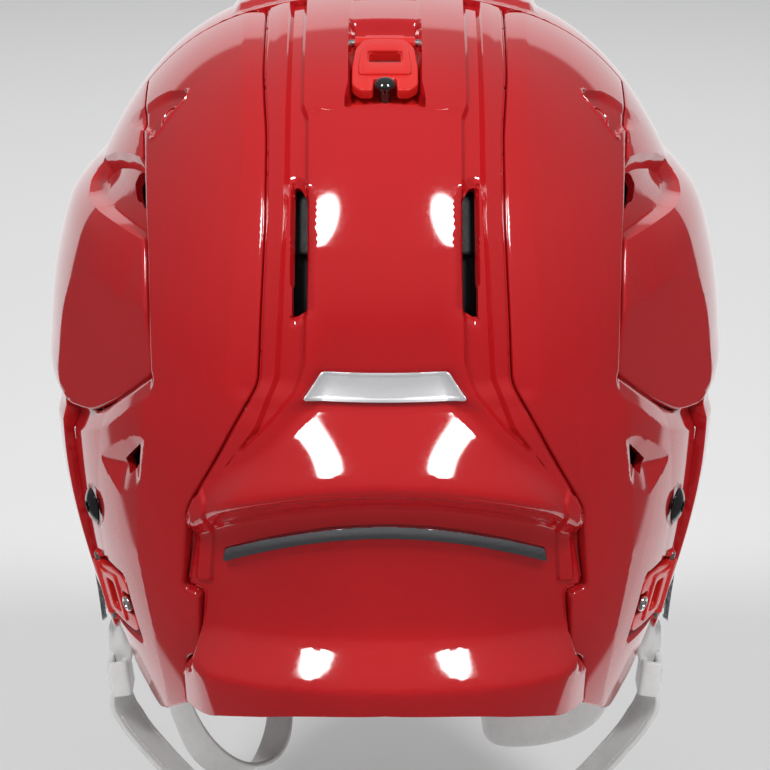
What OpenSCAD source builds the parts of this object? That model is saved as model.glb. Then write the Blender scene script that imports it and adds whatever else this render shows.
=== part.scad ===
// Ice hockey helmet: front shell, sliding rear shell, nape panel that moves up and down,
// three lever clips, foam liners, pads, clear ear guards and a swinging chin strap.
// +Z is up, the wearer faces -Y, and the origin is the centre of the head space.

/* [Shell] */
// Half of the shell's width at the ears
side_half = 106; // [103:0.5:109]
// Distance from the origin to the back of the shell
rear_half = 138; // [135:1:141]
// Distance from the origin to the forehead of the shell
front_half = 132; // [129:1:135]
// Height at which the flattened crown sits
crown_height = 119; // [117:0.5:121]
// Wall of the moulded shells
shell_wall = 3; // [2.6:0.1:3.2]
// Free gap between two shells that slide over each other
lap_gap = 1.4; // [1.2:0.1:1.6]
// How far the swelling above each ear stands out
ear_swell = 4; // [2:0.5:5]

/* [Nape] */
// Degrees that the nape panel can turn down about the ear-to-ear axis
nape_turn = 3; // [1:0.5:3]

/* [Liner] */
// Thickness of the foam liners
liner_thick = 11; // [9:0.5:12]
// Thickness of the comfort pads
pad_thick = 6; // [4:0.5:7]

/* [Clips] */
// Width of every clip lever
lever_w = 21; // [19:0.5:21]
// Thickness of every clip lever
lever_t = 4.2; // [3.6:0.1:4.4]
// Reach of the side levers, from the pin to the free edge
side_reach = 25; // [23:0.5:26]
// Reach of the rear lever, from the pin to the free edge
top_reach = 33; // [31:0.5:34]
// Diameter of the clip pins
clip_pin_d = 2.5; // [2:0.1:3]

/* [Cage screws] */
// Diameter of the threaded bore that takes a cage or visor screw
cage_bore_d = 3.3; // [3.2:0.1:3.6]
// Length of the threaded bore
cage_bore_len = 9; // [8:0.5:10]

/* [Straps] */
// Width of the chin strap
strap_w = 13; // [11:0.5:14]
// Thickness of the chin strap
strap_t = 2; // [1.6:0.1:2.2]

/* [Hidden] */
$fn = 48;

// The dome is an ellipsoid above and a deeper one below, topped by a flatter one.
crown_round = 132.5;
lower_depth = 176;
cap_x = 160;
cap_y = 190;
blend_power = 24;
ear_guard_depth = 260;
shell_step = 5;
soft_step = 12;

// Depths below the outer surface at which the layers lie
flange_top = shell_wall + lap_gap;
flange_wall = 2.5;
flange_low = flange_top + flange_wall;
bridge_top = flange_low + lap_gap;
bridge_low = bridge_top + flange_wall;
liner_top = bridge_low + 0.8;
liner_low = liner_top + liner_thick;
pad_top = liner_low + 0.5;
pad_low = pad_top + pad_thick;

// Gap left between the edges of neighbouring shells
seam = 1;

shell_red = [0.72, 0.1, 0.12];
clip_red = [0.82, 0.13, 0.12];

// ---- the master surface ----

function plateau(t) = abs(t) < 1 ? pow(1 - pow(t, 4), 2) : 0;

// Swelling of the front shell above the ear
function swell(a, e) = ear_swell * plateau((abs(a) - 86) / 24) * plateau((e - 12) / 23);

// Distance from the origin to the outer surface at azimuth a (0 at the back) and elevation e
function dome_r(a, e, depth = lower_depth) =
    let (
        x = sin(a) * cos(e),
        y = cos(a) * cos(e),
        z = sin(e),
        deep_y = y > 0 ? rear_half : front_half,
        deep_z = z > 0 ? crown_round : depth,
        body = norm([x / side_half, y / deep_y, z / deep_z]),
        cap = norm([x / cap_x, y / cap_y, max(z, 0) / crown_height])
    )
    pow(pow(body, blend_power) + pow(cap, blend_power), -1 / blend_power) + swell(a, e);

// The back of the nape panel flares out to a shoulder, tucks in below it, and flares again
function nape_flare(a, e) =
    let (
        height = lookup(e, [
            [-50, 12], [-40, 10], [-35, 8.5], [-30, 4], [-25, 0.5], [-18, -3.5], [-11, -4.5],
            [-7.5, 2], [-4, 4.5], [0, 3], [7, -4.5], [11, -5], [18, -2.5], [26, 0]
        ]),
        side = lookup(abs(a), [[14, 1], [25, 0]])
    )
    height * side;

function on_dome(a, e, inset = 0, depth = lower_depth, nape = 0) =
    (dome_r(a, e, depth) + nape * nape_flare(a, e) - inset) * [sin(a) * cos(e), cos(a) * cos(e), sin(e)];

// Closed solid inside the outer surface, moved in by inset
module dome(inset, step = shell_step, depth = lower_depth, nape = 0) {
    rows = round(180 / step) - 1;
    columns = round(360 / step);
    step_e = 180 / (rows + 1);
    step_a = 360 / columns;
    ring = [
        for (j = [1:rows]) for (i = [0:columns - 1])
            on_dome(i * step_a - 180, 90 - j * step_e, inset, depth, nape)
    ];
    top = on_dome(0, 90, inset, depth);
    bottom = on_dome(0, -90, inset, depth);
    last = rows * columns;
    sides = [
        for (j = [0:rows - 2]) for (i = [0:columns - 1])
            let (k = (i + 1) % columns)
            each [
                [j * columns + i, (j + 1) * columns + k, j * columns + k],
                [j * columns + i, (j + 1) * columns + i, (j + 1) * columns + k]
            ]
    ];
    caps = [
        for (i = [0:columns - 1])
            let (k = (i + 1) % columns)
            each [
                [last, i, k],
                [last + 1, (rows - 1) * columns + k, (rows - 1) * columns + i]
            ]
    ];
    polyhedron(concat(ring, [top, bottom]), concat(sides, caps));
}

// Layer of the dome between two depths
module layer(outer, inner, step = shell_step, depth = lower_depth, nape = 0) {
    difference() {
        dome(outer, step, depth, nape);
        dome(inner, step, depth, nape);
    }
}

// ---- cutting outlines ----

// Prism over an outline in X and Z, running along Y
module back_view(y0, y1) {
    translate([0, y1, 0]) rotate([90, 0, 0]) linear_extrude(y1 - y0) children();
}

// Prism over an outline in Y and Z, running along X
module side_view(x0, x1) {
    translate([x0, 0, 0]) rotate([90, 0, 90]) linear_extrude(x1 - x0) children();
}

module both_sides() {
    children();
    mirror([1, 0, 0]) children();
}

// Half outline of the nape panel's seam, in X and Z
module seam_outline() {
    half = [
        [39, 140], [38.7, 104], [37.2, 90], [37.2, 67], [38.3, 46], [40, 19], [57, -15],
        [62, -25], [63.7, -54], [58.6, -54.5], [58.6, -77], [62.7, -79], [62.7, -140]
    ];
    polygon(concat(half, [for (i = [len(half) - 1:-1:0]) [-half[i][0], half[i][1]]]));
}

// Half outline of the rear shell, in X and Z
module wing_outline() {
    half = [
        [78, 140], [77, 78], [74.6, 49], [73.4, 15], [95, -8], [125, -10], [125, -140]
    ];
    polygon(concat(half, [for (i = [len(half) - 1:-1:0]) [-half[i][0], half[i][1]]]));
}

// Side outline of the rear shell, in Y and Z
module rear_profile() {
    polygon([
        [6, 140], [170, 140], [170, -90], [118, -90], [100, -93], [82, -98], [62, -106], [53, -109],
        [45, -98], [41, -70], [38, -40], [38, 0], [6, 60]
    ]);
}

// Side outline of the front shell with its ear arch and temple, in Y and Z
module front_profile() {
    polygon([
        [170, 140], [170, 20], [60, -9], [38, -10], [37, -40], [38, -68], [26, -72], [21, -26],
        [12, -14], [-28, -14], [-40, -26], [-47, -54], [-60, -63], [-86, -53], [-104, -16], [-120, 12],
        [-170, 22], [-170, 140]
    ]);
}

module rear_zone(grow = 0) {
    intersection() {
        back_view(-10, 170) offset(delta = grow) wing_outline();
        side_view(-130, 130) offset(delta = grow) rear_profile();
    }
}

module nape_zone(grow = 0) {
    back_view(6, 170) offset(delta = grow) seam_outline();
}

// ---- where things sit ----

// Outward normal of the outer surface
function dome_normal(a, e) =
    let (
        n = cross(on_dome(a, e + 1) - on_dome(a, e - 1), on_dome(a + 1, e) - on_dome(a - 1, e))
    )
    n / norm(n);

// Puts the children on the outer surface, with their +Z along its normal
module at_dome(a, e, inset = 0) {
    n = dome_normal(a, e);
    translate(on_dome(a, e) - inset * n) rotate([0, acos(n.z), atan2(n.y, n.x)]) children();
}

side_pin = [91, 46, -70];
side_yaw = 24;
side_pitch = 105;
top_pin = [0, 50, 110.6];
top_pitch = 18;

// Frame of the left side clip: +X runs from the pin to the free edge, +Z points outwards
module at_side_clip() {
    translate(side_pin) rotate([0, 0, side_yaw]) rotate([0, side_pitch, 0]) rotate([0, 0, 90]) children();
}

// Frame of the rear clip, on the crown
module at_top_clip() {
    translate(top_pin) rotate([-top_pitch, 0, 0]) rotate([0, 0, 90]) children();
}

// ---- clips ----

recess_w = lever_w + 4.6;
recess_floor = -5.6;
recess_run = 9;
tray_wall = 2.3;

// Free space that a clip and its base fill, open outwards
module clip_recess(reach) {
    translate([-5, -recess_w / 2, recess_floor]) cube([reach + recess_run, recess_w, 20]);
}

// Walls and floor around that space
module clip_tray(reach) {
    translate([-5 - tray_wall, -recess_w / 2 - tray_wall, recess_floor - tray_wall])
        cube([reach + recess_run + 2 * tray_wall, recess_w + 2 * tray_wall, 14]);
}

pin_gap = 0.06;
barrel_r = 2.6;

module clip_lever(reach) {
    difference() {
        union() {
            translate([0, 0, -1.6]) linear_extrude(lever_t) polygon([
                [0, -lever_w / 2], [reach - 4, -lever_w / 2], [reach, -lever_w / 2 + 4],
                [reach, lever_w / 2 - 4], [reach - 4, lever_w / 2], [0, lever_w / 2]
            ]);
            rotate([90, 0, 0]) cylinder(r = barrel_r, h = lever_w, center = true);
        }
        rotate([90, 0, 0]) cylinder(r = clip_pin_d / 2 + pin_gap, h = lever_w + 2, center = true);
        translate([reach * 0.36, -4.8, -5]) cube([4.6, 9.6, 12]);
        translate([reach - 7.6, -3.6, -5]) cube([8.6, 7.2, 12]);
    }
}

module clip_base(reach) {
    ear_t = 1.4;
    difference() {
        union() {
            translate([-4, -recess_w / 2 + 0.3, recess_floor + 0.1])
                cube([reach + recess_run - 2, recess_w - 0.6, 1.2]);
            for (side = [-1, 1])
                translate([-3, side * (recess_w / 2 - 0.3 - ear_t / 2) - ear_t / 2, recess_floor + 0.1])
                    cube([6, ear_t, 8]);
        }
        rotate([90, 0, 0]) cylinder(d = clip_pin_d + 0.02, h = 60, center = true);
    }
}

module clip_pin() {
    rotate([90, 0, 0]) cylinder(d = clip_pin_d, h = recess_w - 0.6, center = true);
}

// Peg that the lever's slotted free edge closes over
module clip_peg(reach, r) {
    translate([reach - 3.6, 0, recess_floor + 1.3]) cylinder(r = 1.8, h = 5.4);
    translate([reach - 3.6, 0, recess_floor + 6.7]) cylinder(r = r, h = 1.6);
}

// ---- shells ----

// Everything outside a zone
module outside() {
    difference() {
        translate([-200, -200, -200]) cube(400);
        children();
    }
}

// Box above a given height
module above(z) {
    translate([-200, -200, z]) cube(400);
}

module front_shell() color(shell_red) resize([0, 0, 0]) difference() {
    union() {
        // Outer skin up to the edge of the rear shell
        difference() {
            dome(0);
            rear_zone(seam);
        }
        // Flange that reaches under the edge of the rear shell, above the ears
        difference() {
            dome(flange_top);
            rear_zone(-24);
            nape_zone(17);
            outside() above(8);
        }
        // Tongue that reaches back under the nape panel
        intersection() {
            dome(flange_top);
            translate([-26, -12, 80]) cube([52, 46, 60]);
        }
    }
    // Hollow inside, deeper under the flange and along its root
    difference() {
        dome(shell_wall);
        intersection() {
            rear_zone(seam + 3);
            above(8);
        }
    }
    dome(flange_low);
    outside() side_view(-130, 130) front_profile();
    // Upper side vents
    both_sides() at_dome(52, 33, 20) translate([-6, -5, 0]) cube([12, 10, 40]);
    // Crown and forehead vents
    both_sides() for (e = [42, 62]) at_dome(163, e, 20) translate([-9, -3, 0]) cube([18, 6, 40]);
    both_sides() at_dome(128, 45, 20) translate([-11, -3.5, 0]) cube([22, 7, 40]);
    // Clearance for the cage nuts
    both_sides() at_cage_nut() cylinder(d = 8.4, h = 30, center = true, $fn = 32);
}

module rear_shell() color(shell_red) resize([0, 0, 0]) difference() {
    intersection() {
        dome(0);
        rear_zone();
    }
    // Hollow inside, apart from the trays of the side clips and the bridge
    difference() {
        dome(shell_wall);
        both_sides() at_side_clip() clip_tray(side_reach);
        difference() {
            translate([-53, 40, 60]) cube([106, 90, 20]);
            dome(bridge_low);
        }
    }
    // Space for the nape panel, above the bridge
    difference() {
        nape_zone();
        dome(bridge_top);
    }
    difference() {
        translate([-50, 20, -150]) cube([100, 200, 300]);
        dome(bridge_top);
        outside() dome(shell_wall);
    }
    both_sides() at_side_clip() clip_recess(side_reach);
    // Lower side vents
    both_sides() at_dome(42, -7, 12) translate([-4, -3, 0]) cube([8, 6, 30]);
    // Clearance for the side screws
    both_sides() at_dome(59, -20, 12) cylinder(d = 6, h = 30, $fn = 32);
}

module nape_shell() color(shell_red) resize([0, 0, 0]) difference() {
    union() {
        // Raised centre, level with the rear shell
        intersection() {
            dome(0, nape = 1);
            nape_zone(-seam - 1.5);
            above(-16);
        }
        // Flange that runs under the rear shell
        intersection() {
            dome(flange_top);
            nape_zone(4.6);
            outside() nape_zone(-seam - 3);
        }
        // Lower half, one wall below the rear shell
        intersection() {
            dome(flange_top - 0.6, nape = 1);
            nape_zone(-seam - 1);
        }
    }
    // Hollow inside, deeper along the step and under the lower half
    difference() {
        dome(shell_wall, nape = 1);
        outside() nape_zone(-seam - 4);
        outside() above(-12);
        at_top_clip() clip_tray(top_reach);
    }
    difference() {
        dome(flange_low, nape = 1);
        at_top_clip() clip_tray(top_reach);
    }
    difference() {
        dome(flange_low);
        nape_zone(-seam - 3);
    }
    outside() side_view(-130, 130) rear_profile();
    translate([-200, -392, -200]) cube(400);
    at_top_clip() clip_recess(top_reach);
    // Room for the trays of the side clips
    both_sides() translate([65, 0, -140]) cube([20, 200, 72]);
    // Long vents
    both_sides() back_view(60, 170) polygon([[23.2, 42], [23.2, 74], [27.6, 78], [27.6, 40]]);
    // Slots that the guide studs run in
    both_sides() for (turn = [0:0.5:nape_turn + 0.5]) rotate([turn, 0, 0]) at_stud()
        translate([0, 0, -16]) cylinder(r = 2.9, h = 20, $fn = 24);
}

// ---- soft parts ----

module front_liner() color([0.12, 0.12, 0.13]) resize([0, 0, 0]) difference() {
    intersection() {
        layer(liner_top, liner_low, soft_step);
        side_view(-130, 130) offset(delta = -6) front_profile();
        union() {
            translate([-200, -200, -200]) cube([400, 206, 400]);
            both_sides() translate([57, 0, 9]) cube([80, 84, 70]);
        }
    }
    both_sides() for (a = [112, 150]) at_dome(a, 40, 40) translate([-14, -4, 0]) cube([28, 8, 60]);
}

module rear_liner() color([0.12, 0.12, 0.13]) resize([0, 0, 0]) intersection() {
    layer(liner_top, liner_low, soft_step);
    side_view(0, 130) polygon([[44, 4], [130, 4], [130, -50], [88, -50], [58, -40], [44, -20]]);
    back_view(0, 170) polygon([[52, 4], [120, 4], [120, -60], [70, -60], [52, 0]]);
}

module nape_liner() color([0.12, 0.12, 0.13]) resize([0, 0, 0]) intersection() {
    layer(liner_top, liner_low, soft_step);
    side_view(-60, 60) polygon([[40, 94], [130, 94], [150, -84], [60, -84], [60, 40], [30, 60]]);
    back_view(0, 170) polygon([
        [-34, 100], [34, 100], [36, 0], [52, -30], [52, -90], [-52, -90], [-52, -30], [-36, 0]
    ]);
}

module forehead_pad() color([0.2, 0.2, 0.21]) resize([0, 0, 0]) intersection() {
    layer(pad_top, pad_low, soft_step);
    translate([-62, -160, 34]) cube([124, 150, 26]);
}

module crown_pad() color([0.2, 0.2, 0.21]) resize([0, 0, 0]) intersection() {
    layer(pad_top, pad_low, soft_step);
    translate([-26, -44, 40]) cube([52, 44, 90]);
}

module temple_pad() color([0.2, 0.2, 0.21]) resize([0, 0, 0]) intersection() {
    layer(pad_top, pad_low, soft_step);
    side_view(0, 130) polygon([[-34, 30], [-76, 26], [-80, -30], [-56, -46], [-44, -30], [-38, 0]]);
}

module nape_pad() color([0.2, 0.2, 0.21]) resize([0, 0, 0]) intersection() {
    layer(pad_top, pad_low, soft_step);
    back_view(40, 170) polygon([[-32, 10], [32, 10], [44, -40], [38, -62], [-38, -62], [-44, -40]]);
}

// ---- ear guards ----

rivet_spots = [[-30, -10], [12, -10]];

module ear_guard() color([0.8, 0.86, 0.9, 0.5]) resize([0, 0, 0]) intersection() {
    layer(flange_top, flange_low, depth = ear_guard_depth);
    side_view(60, 130) difference() {
        polygon([
            [-38, -6], [20, -6], [19.5, -28], [22.5, -60], [24, -75], [30, -80], [27, -92], [14, -97],
            [-14, -94], [-38, -82], [-50, -68], [-45, -56], [-38.5, -27.5]
        ]);
        for (y = [-14, 0, 14]) translate([y, -52]) square([5, 26], center = true);
    }
}

// Rivets that hold the ear guards behind the front shell, two on each side
module ear_guard_rivets() color("silver") both_sides() for (spot = rivet_spots)
    translate([rivet_x(spot), spot[0], spot[1]]) rotate([0, 90, 0]) cylinder(r = 3, h = 1.2);

function rivet_x(spot) =
    side_half * sqrt(1 - pow(spot[0] / (spot[0] > 0 ? rear_half : front_half), 2) - pow(spot[1] / ear_guard_depth, 2))
    - flange_low - 1.9;

// ---- fasteners ----

module at_cage_nut() {
    at_dome(156, 21) children();
}

// T-nut with a true threaded bore; its mouth is flush with the outer surface
module cage_nut() color("silver") at_cage_nut() difference() {
    union() {
        translate([0, 0, -4.9]) cylinder(r = 6.5, h = 1.4);
        translate([0, 0, 0.4 - cage_bore_len]) cylinder(r = 3.8, h = cage_bore_len);
    }
    translate([0, 0, -cage_bore_len - 1]) cylinder(d = cage_bore_d, h = cage_bore_len + 4);
}

// Domed black screw of the rear shell's side arm
module side_screw() color([0.05, 0.05, 0.05]) at_dome(59, -20) {
    translate([0, 0, 0.6]) rotate_extrude() intersection() {
        translate([0, -7.2]) circle(r = 9.6);
        square([6, 4]);
    }
    translate([0, 0, -8]) cylinder(r = 2, h = 8.7);
}

module side_nut() color("silver") at_dome(59, -20) difference() {
    translate([0, 0, -8]) cylinder(r = 4.5, h = 3.6);
    translate([0, 0, -9]) cylinder(r = 2.05, h = 6);
}

// Round plug in the hollow at the top of each wing
module side_plug() color(clip_red) at_dome(54, 46) translate([0, 0, 0.5]) cylinder(r = 3.6, h = 1.2);

// Studs of the rear shell that hold the nape panel and let it slide
module nape_guide_studs() color("silver") both_sides() at_stud() {
    translate([0, 0, -flange_low - 3.6]) cylinder(r = 4.4, h = 2);
    translate([0, 0, -flange_low - 1.6]) cylinder(r = 2, h = flange_low + 1.6 - shell_wall - 0.3);
}

module at_stud() {
    at_dome(31.6, -28.8) children();
}

// ---- trim ----

module badge_plate() color("silver") resize([0, 0, 0]) intersection() {
    layer(-0.9, -0.1, nape = 1);
    back_view(60, 170) polygon([[-22, 24], [22, 24], [27.5, 15.5], [-27.5, 15.5]]);
}

// Bright strip in the hollow below the shoulder, bowed when seen from behind
module accent_strip() color([0.5, 0.5, 0.52]) resize([0, 0, 0]) intersection() {
    layer(flange_top - 1.8, flange_top - 0.7, nape = 1);
    back_view(60, 170) intersection() {
        translate([0, strip_top - strip_bow]) difference() {
            circle(r = strip_bow, $fn = 120);
            circle(r = strip_bow - 3.4, $fn = 120);
        }
        translate([-52, -60]) square([104, 80]);
    }
}

strip_top = -25.6;
strip_bow = 97.6;

// ---- straps ----

function unit(v) = v / norm(v);

// Flat band swept along hand-placed points; across gives the direction of its width
module band(path, across, w, t) {
    n = len(path);
    rings = [
        for (i = [0:n - 1])
            let (
                along = unit(path[min(i + 1, n - 1)] - path[max(i - 1, 0)]),
                flat = unit(cross(along, across[i])),
                wide = unit(cross(flat, along))
            )
            each [
                path[i] + wide * w / 2 + flat * t / 2,
                path[i] - wide * w / 2 + flat * t / 2,
                path[i] - wide * w / 2 - flat * t / 2,
                path[i] + wide * w / 2 - flat * t / 2
            ]
    ];
    faces = concat(
        [[0, 1, 2], [0, 2, 3]],
        [for (i = [0:n - 2]) for (k = [0:3]) each [
            [4 * i + k, 4 * i + 4 + k, 4 * i + (k + 1) % 4],
            [4 * i + (k + 1) % 4, 4 * i + 4 + k, 4 * i + 4 + (k + 1) % 4]
        ]],
        [[4 * n - 4, 4 * n - 2, 4 * n - 3], [4 * n - 4, 4 * n - 1, 4 * n - 2]]
    );
    polyhedron(rings, faces);
}

strap_white = [0.9, 0.9, 0.89];
strap_y = 22;
strap_top = -84;
strap_path = [
    [88, strap_y, -76], [88.5, strap_y, -92], [88.5, strap_y, -115], [84.5, strap_y, -125],
    [77, strap_y, -135], [67, strap_y, -146], [55, strap_y, -156], [41, strap_y, -165]
];
loop_path = [
    [74, 36, -90], [70, 32, -106], [67, 28, -121], [60, 23, -136], [50, 16, -145], [41, 8, -144],
    [36, 0, -134], [38, -14, -117], [52, -34, -92], [70, -46, -72]
];

module chin_strap() color(strap_white)
    band(strap_path, [for (p = strap_path) [0, 1, 0]], strap_w, strap_t);

module strap_keeper() color(strap_white) difference() {
    translate([88.5, strap_y, -106]) cube([7, strap_w + 5, 12], center = true);
    translate([88.5, strap_y, -106]) cube([3, strap_w + 0.8, 14], center = true);
}

module chin_cup() color(strap_white) difference() {
    intersection() {
        translate([0, strap_y, -118]) rotate([90, 0, 0]) cylinder(r = 64, h = 34, center = true);
        translate([-38, strap_y - 20, -190]) cube([76, 40, 32]);
    }
    translate([0, strap_y, -118]) rotate([90, 0, 0]) cylinder(r = 59, h = 40, center = true);
}

// The loop's width runs square to the plane that its path lies in
loop_across = [-0.88, 0.14, 0.46];

module ear_loop() color(strap_white)
    band(loop_path, [for (p = loop_path) loop_across], 8, 1.8);

module strap_stud() color("silver") translate([89.7, strap_y, strap_top]) rotate([0, 90, 0])
    cylinder(r = 5, h = 1.7);

module strap_cap() color(strap_white) translate([84.2, strap_y, strap_top]) rotate([0, 90, 0])
    cylinder(r = 6, h = 2.7);

// ---- drawing ----

front_shell();
rear_shell();
nape_shell();
front_liner();
rear_liner();  // rear_liner_left
mirror([1, 0, 0]) rear_liner();  // rear_liner_right
nape_liner();
forehead_pad();
crown_pad();
temple_pad();  // temple_pad_left
mirror([1, 0, 0]) temple_pad();  // temple_pad_right
nape_pad();
ear_guard();  // ear_guard_left
mirror([1, 0, 0]) ear_guard();  // ear_guard_right
ear_guard_rivets();
cage_nut();  // cage_nut_left
mirror([1, 0, 0]) cage_nut();  // cage_nut_right
side_screw();  // side_screw_left
mirror([1, 0, 0]) side_screw();  // side_screw_right
side_nut();  // side_nut_left
mirror([1, 0, 0]) side_nut();  // side_nut_right
side_plug();  // side_plug_left
mirror([1, 0, 0]) side_plug();  // side_plug_right
color(clip_red) at_side_clip() clip_base(side_reach);  // left_clip_base
color(clip_red) at_side_clip() clip_lever(side_reach);  // left_clip_lever
color("silver") at_side_clip() clip_pin();  // left_clip_pin
color("silver") at_side_clip() clip_peg(side_reach, 2.6);  // left_clip_rivet
color(clip_red) mirror([1, 0, 0]) at_side_clip() clip_base(side_reach);  // right_clip_base
color(clip_red) mirror([1, 0, 0]) at_side_clip() clip_lever(side_reach);  // right_clip_lever
color("silver") mirror([1, 0, 0]) at_side_clip() clip_pin();  // right_clip_pin
color("silver") mirror([1, 0, 0]) at_side_clip() clip_peg(side_reach, 2.6);  // right_clip_rivet
color(clip_red) at_top_clip() clip_base(top_reach);  // rear_clip_base
color(clip_red) at_top_clip() clip_lever(top_reach);  // rear_clip_lever
color("silver") at_top_clip() clip_pin();  // rear_clip_pin
color([0.05, 0.05, 0.05]) at_top_clip() clip_peg(top_reach, 3.2);  // rear_clip_post
nape_guide_studs();
badge_plate();
accent_strip();
ear_loop();  // ear_loop_left
mirror([1, 0, 0]) ear_loop();  // ear_loop_right
strap_stud();  // strap_stud_left
mirror([1, 0, 0]) strap_stud();  // strap_stud_right
strap_cap();  // strap_cap_left
mirror([1, 0, 0]) strap_cap();  // strap_cap_right
chin_strap();  // chin_strap_left
mirror([1, 0, 0]) chin_strap();  // chin_strap_right
strap_keeper();  // strap_keeper_left
mirror([1, 0, 0]) strap_keeper();  // strap_keeper_right
chin_cup();
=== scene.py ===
"""Looks of the ice hockey helmet: shells, clips, liners, straps and studio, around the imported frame."""

import math

import bmesh
import bpy
import numpy as np
from mathutils import Matrix, Vector


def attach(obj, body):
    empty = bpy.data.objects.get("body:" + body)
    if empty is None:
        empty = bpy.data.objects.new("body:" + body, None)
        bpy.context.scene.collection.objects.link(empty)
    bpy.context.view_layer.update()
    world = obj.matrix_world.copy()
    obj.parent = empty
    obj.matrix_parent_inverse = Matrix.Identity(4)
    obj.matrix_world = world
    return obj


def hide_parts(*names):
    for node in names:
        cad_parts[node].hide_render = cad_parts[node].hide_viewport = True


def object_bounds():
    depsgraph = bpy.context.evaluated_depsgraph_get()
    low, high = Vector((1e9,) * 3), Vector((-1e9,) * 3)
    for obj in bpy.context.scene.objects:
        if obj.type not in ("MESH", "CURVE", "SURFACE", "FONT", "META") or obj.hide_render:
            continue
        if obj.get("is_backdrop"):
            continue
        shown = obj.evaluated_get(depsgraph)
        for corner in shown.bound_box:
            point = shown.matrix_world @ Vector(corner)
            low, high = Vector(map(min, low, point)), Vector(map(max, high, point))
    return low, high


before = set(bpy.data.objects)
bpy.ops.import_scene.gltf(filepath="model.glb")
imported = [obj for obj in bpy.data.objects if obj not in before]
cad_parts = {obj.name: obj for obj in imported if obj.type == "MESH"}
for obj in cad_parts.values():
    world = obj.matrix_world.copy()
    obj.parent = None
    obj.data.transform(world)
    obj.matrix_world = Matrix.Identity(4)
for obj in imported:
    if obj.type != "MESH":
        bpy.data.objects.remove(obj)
cad_low, cad_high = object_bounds()

MM = 0.001


# ---------------------------------------------------------------- camera, light, stage

CAMERA_DISTANCE = 1.6
CAMERA_PITCH = math.radians(15)
LOOK_BELOW = 0.0143


def make_camera():
    """Camera behind the helmet and a little above it."""
    back = Vector((0, math.cos(CAMERA_PITCH), math.sin(CAMERA_PITCH)))
    down = Vector((0, math.sin(CAMERA_PITCH), -math.cos(CAMERA_PITCH)))
    data = bpy.data.cameras.new("camera")
    data.lens = 224.8
    data.sensor_width = 36
    data.clip_end = 50
    camera = bpy.data.objects.new("camera", data)
    bpy.context.scene.collection.objects.link(camera)
    target = down * LOOK_BELOW
    camera.location = back * CAMERA_DISTANCE + target
    camera.rotation_euler = (target - camera.location).to_track_quat("-Z", "Y").to_euler()
    bpy.context.scene.camera = camera
    bpy.context.scene.view_settings.view_transform = "Standard"


def soften(data):
    """Fades a light out towards its edge, so its reflection has a soft border."""
    data.use_nodes = True
    tree = data.node_tree
    emission = tree.nodes["Emission"]
    geometry = tree.nodes.new("ShaderNodeNewGeometry")
    centred = tree.nodes.new("ShaderNodeVectorMath")
    centred.operation = "SUBTRACT"
    centred.inputs[1].default_value = (0.5, 0.5, 0)
    length = tree.nodes.new("ShaderNodeVectorMath")
    length.operation = "LENGTH"
    fade = tree.nodes.new("ShaderNodeMapRange")
    fade.interpolation_type = "SMOOTHSTEP"
    fade.inputs["From Min"].default_value = 0.33
    fade.inputs["From Max"].default_value = 0.5
    fade.inputs["To Min"].default_value = 1.5
    fade.inputs["To Max"].default_value = 0.0
    tree.links.new(geometry.outputs["Parametric"], centred.inputs[0])
    tree.links.new(centred.outputs["Vector"], length.inputs[0])
    tree.links.new(length.outputs["Value"], fade.inputs["Value"])
    tree.links.new(fade.outputs["Result"], emission.inputs["Strength"])


def softbox(name, azimuth, elevation, distance, width, height, watts, mirrored_in_gloss=True):
    """Rectangular light that faces the helmet; azimuth is counted from the back towards the left."""
    a, e = math.radians(azimuth), math.radians(elevation)
    place = Vector((math.sin(a) * math.cos(e), math.cos(a) * math.cos(e), math.sin(e))) * distance
    data = bpy.data.lights.new(name, "AREA")
    data.shape = "ELLIPSE"
    data.size = width
    data.size_y = height
    data.energy = watts
    soften(data)
    lamp = bpy.data.objects.new(name, data)
    lamp.visible_glossy = mirrored_in_gloss
    bpy.context.scene.collection.objects.link(lamp)
    lamp.location = place
    lamp.rotation_euler = (-place).to_track_quat("-Z", "Y").to_euler()


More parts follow.
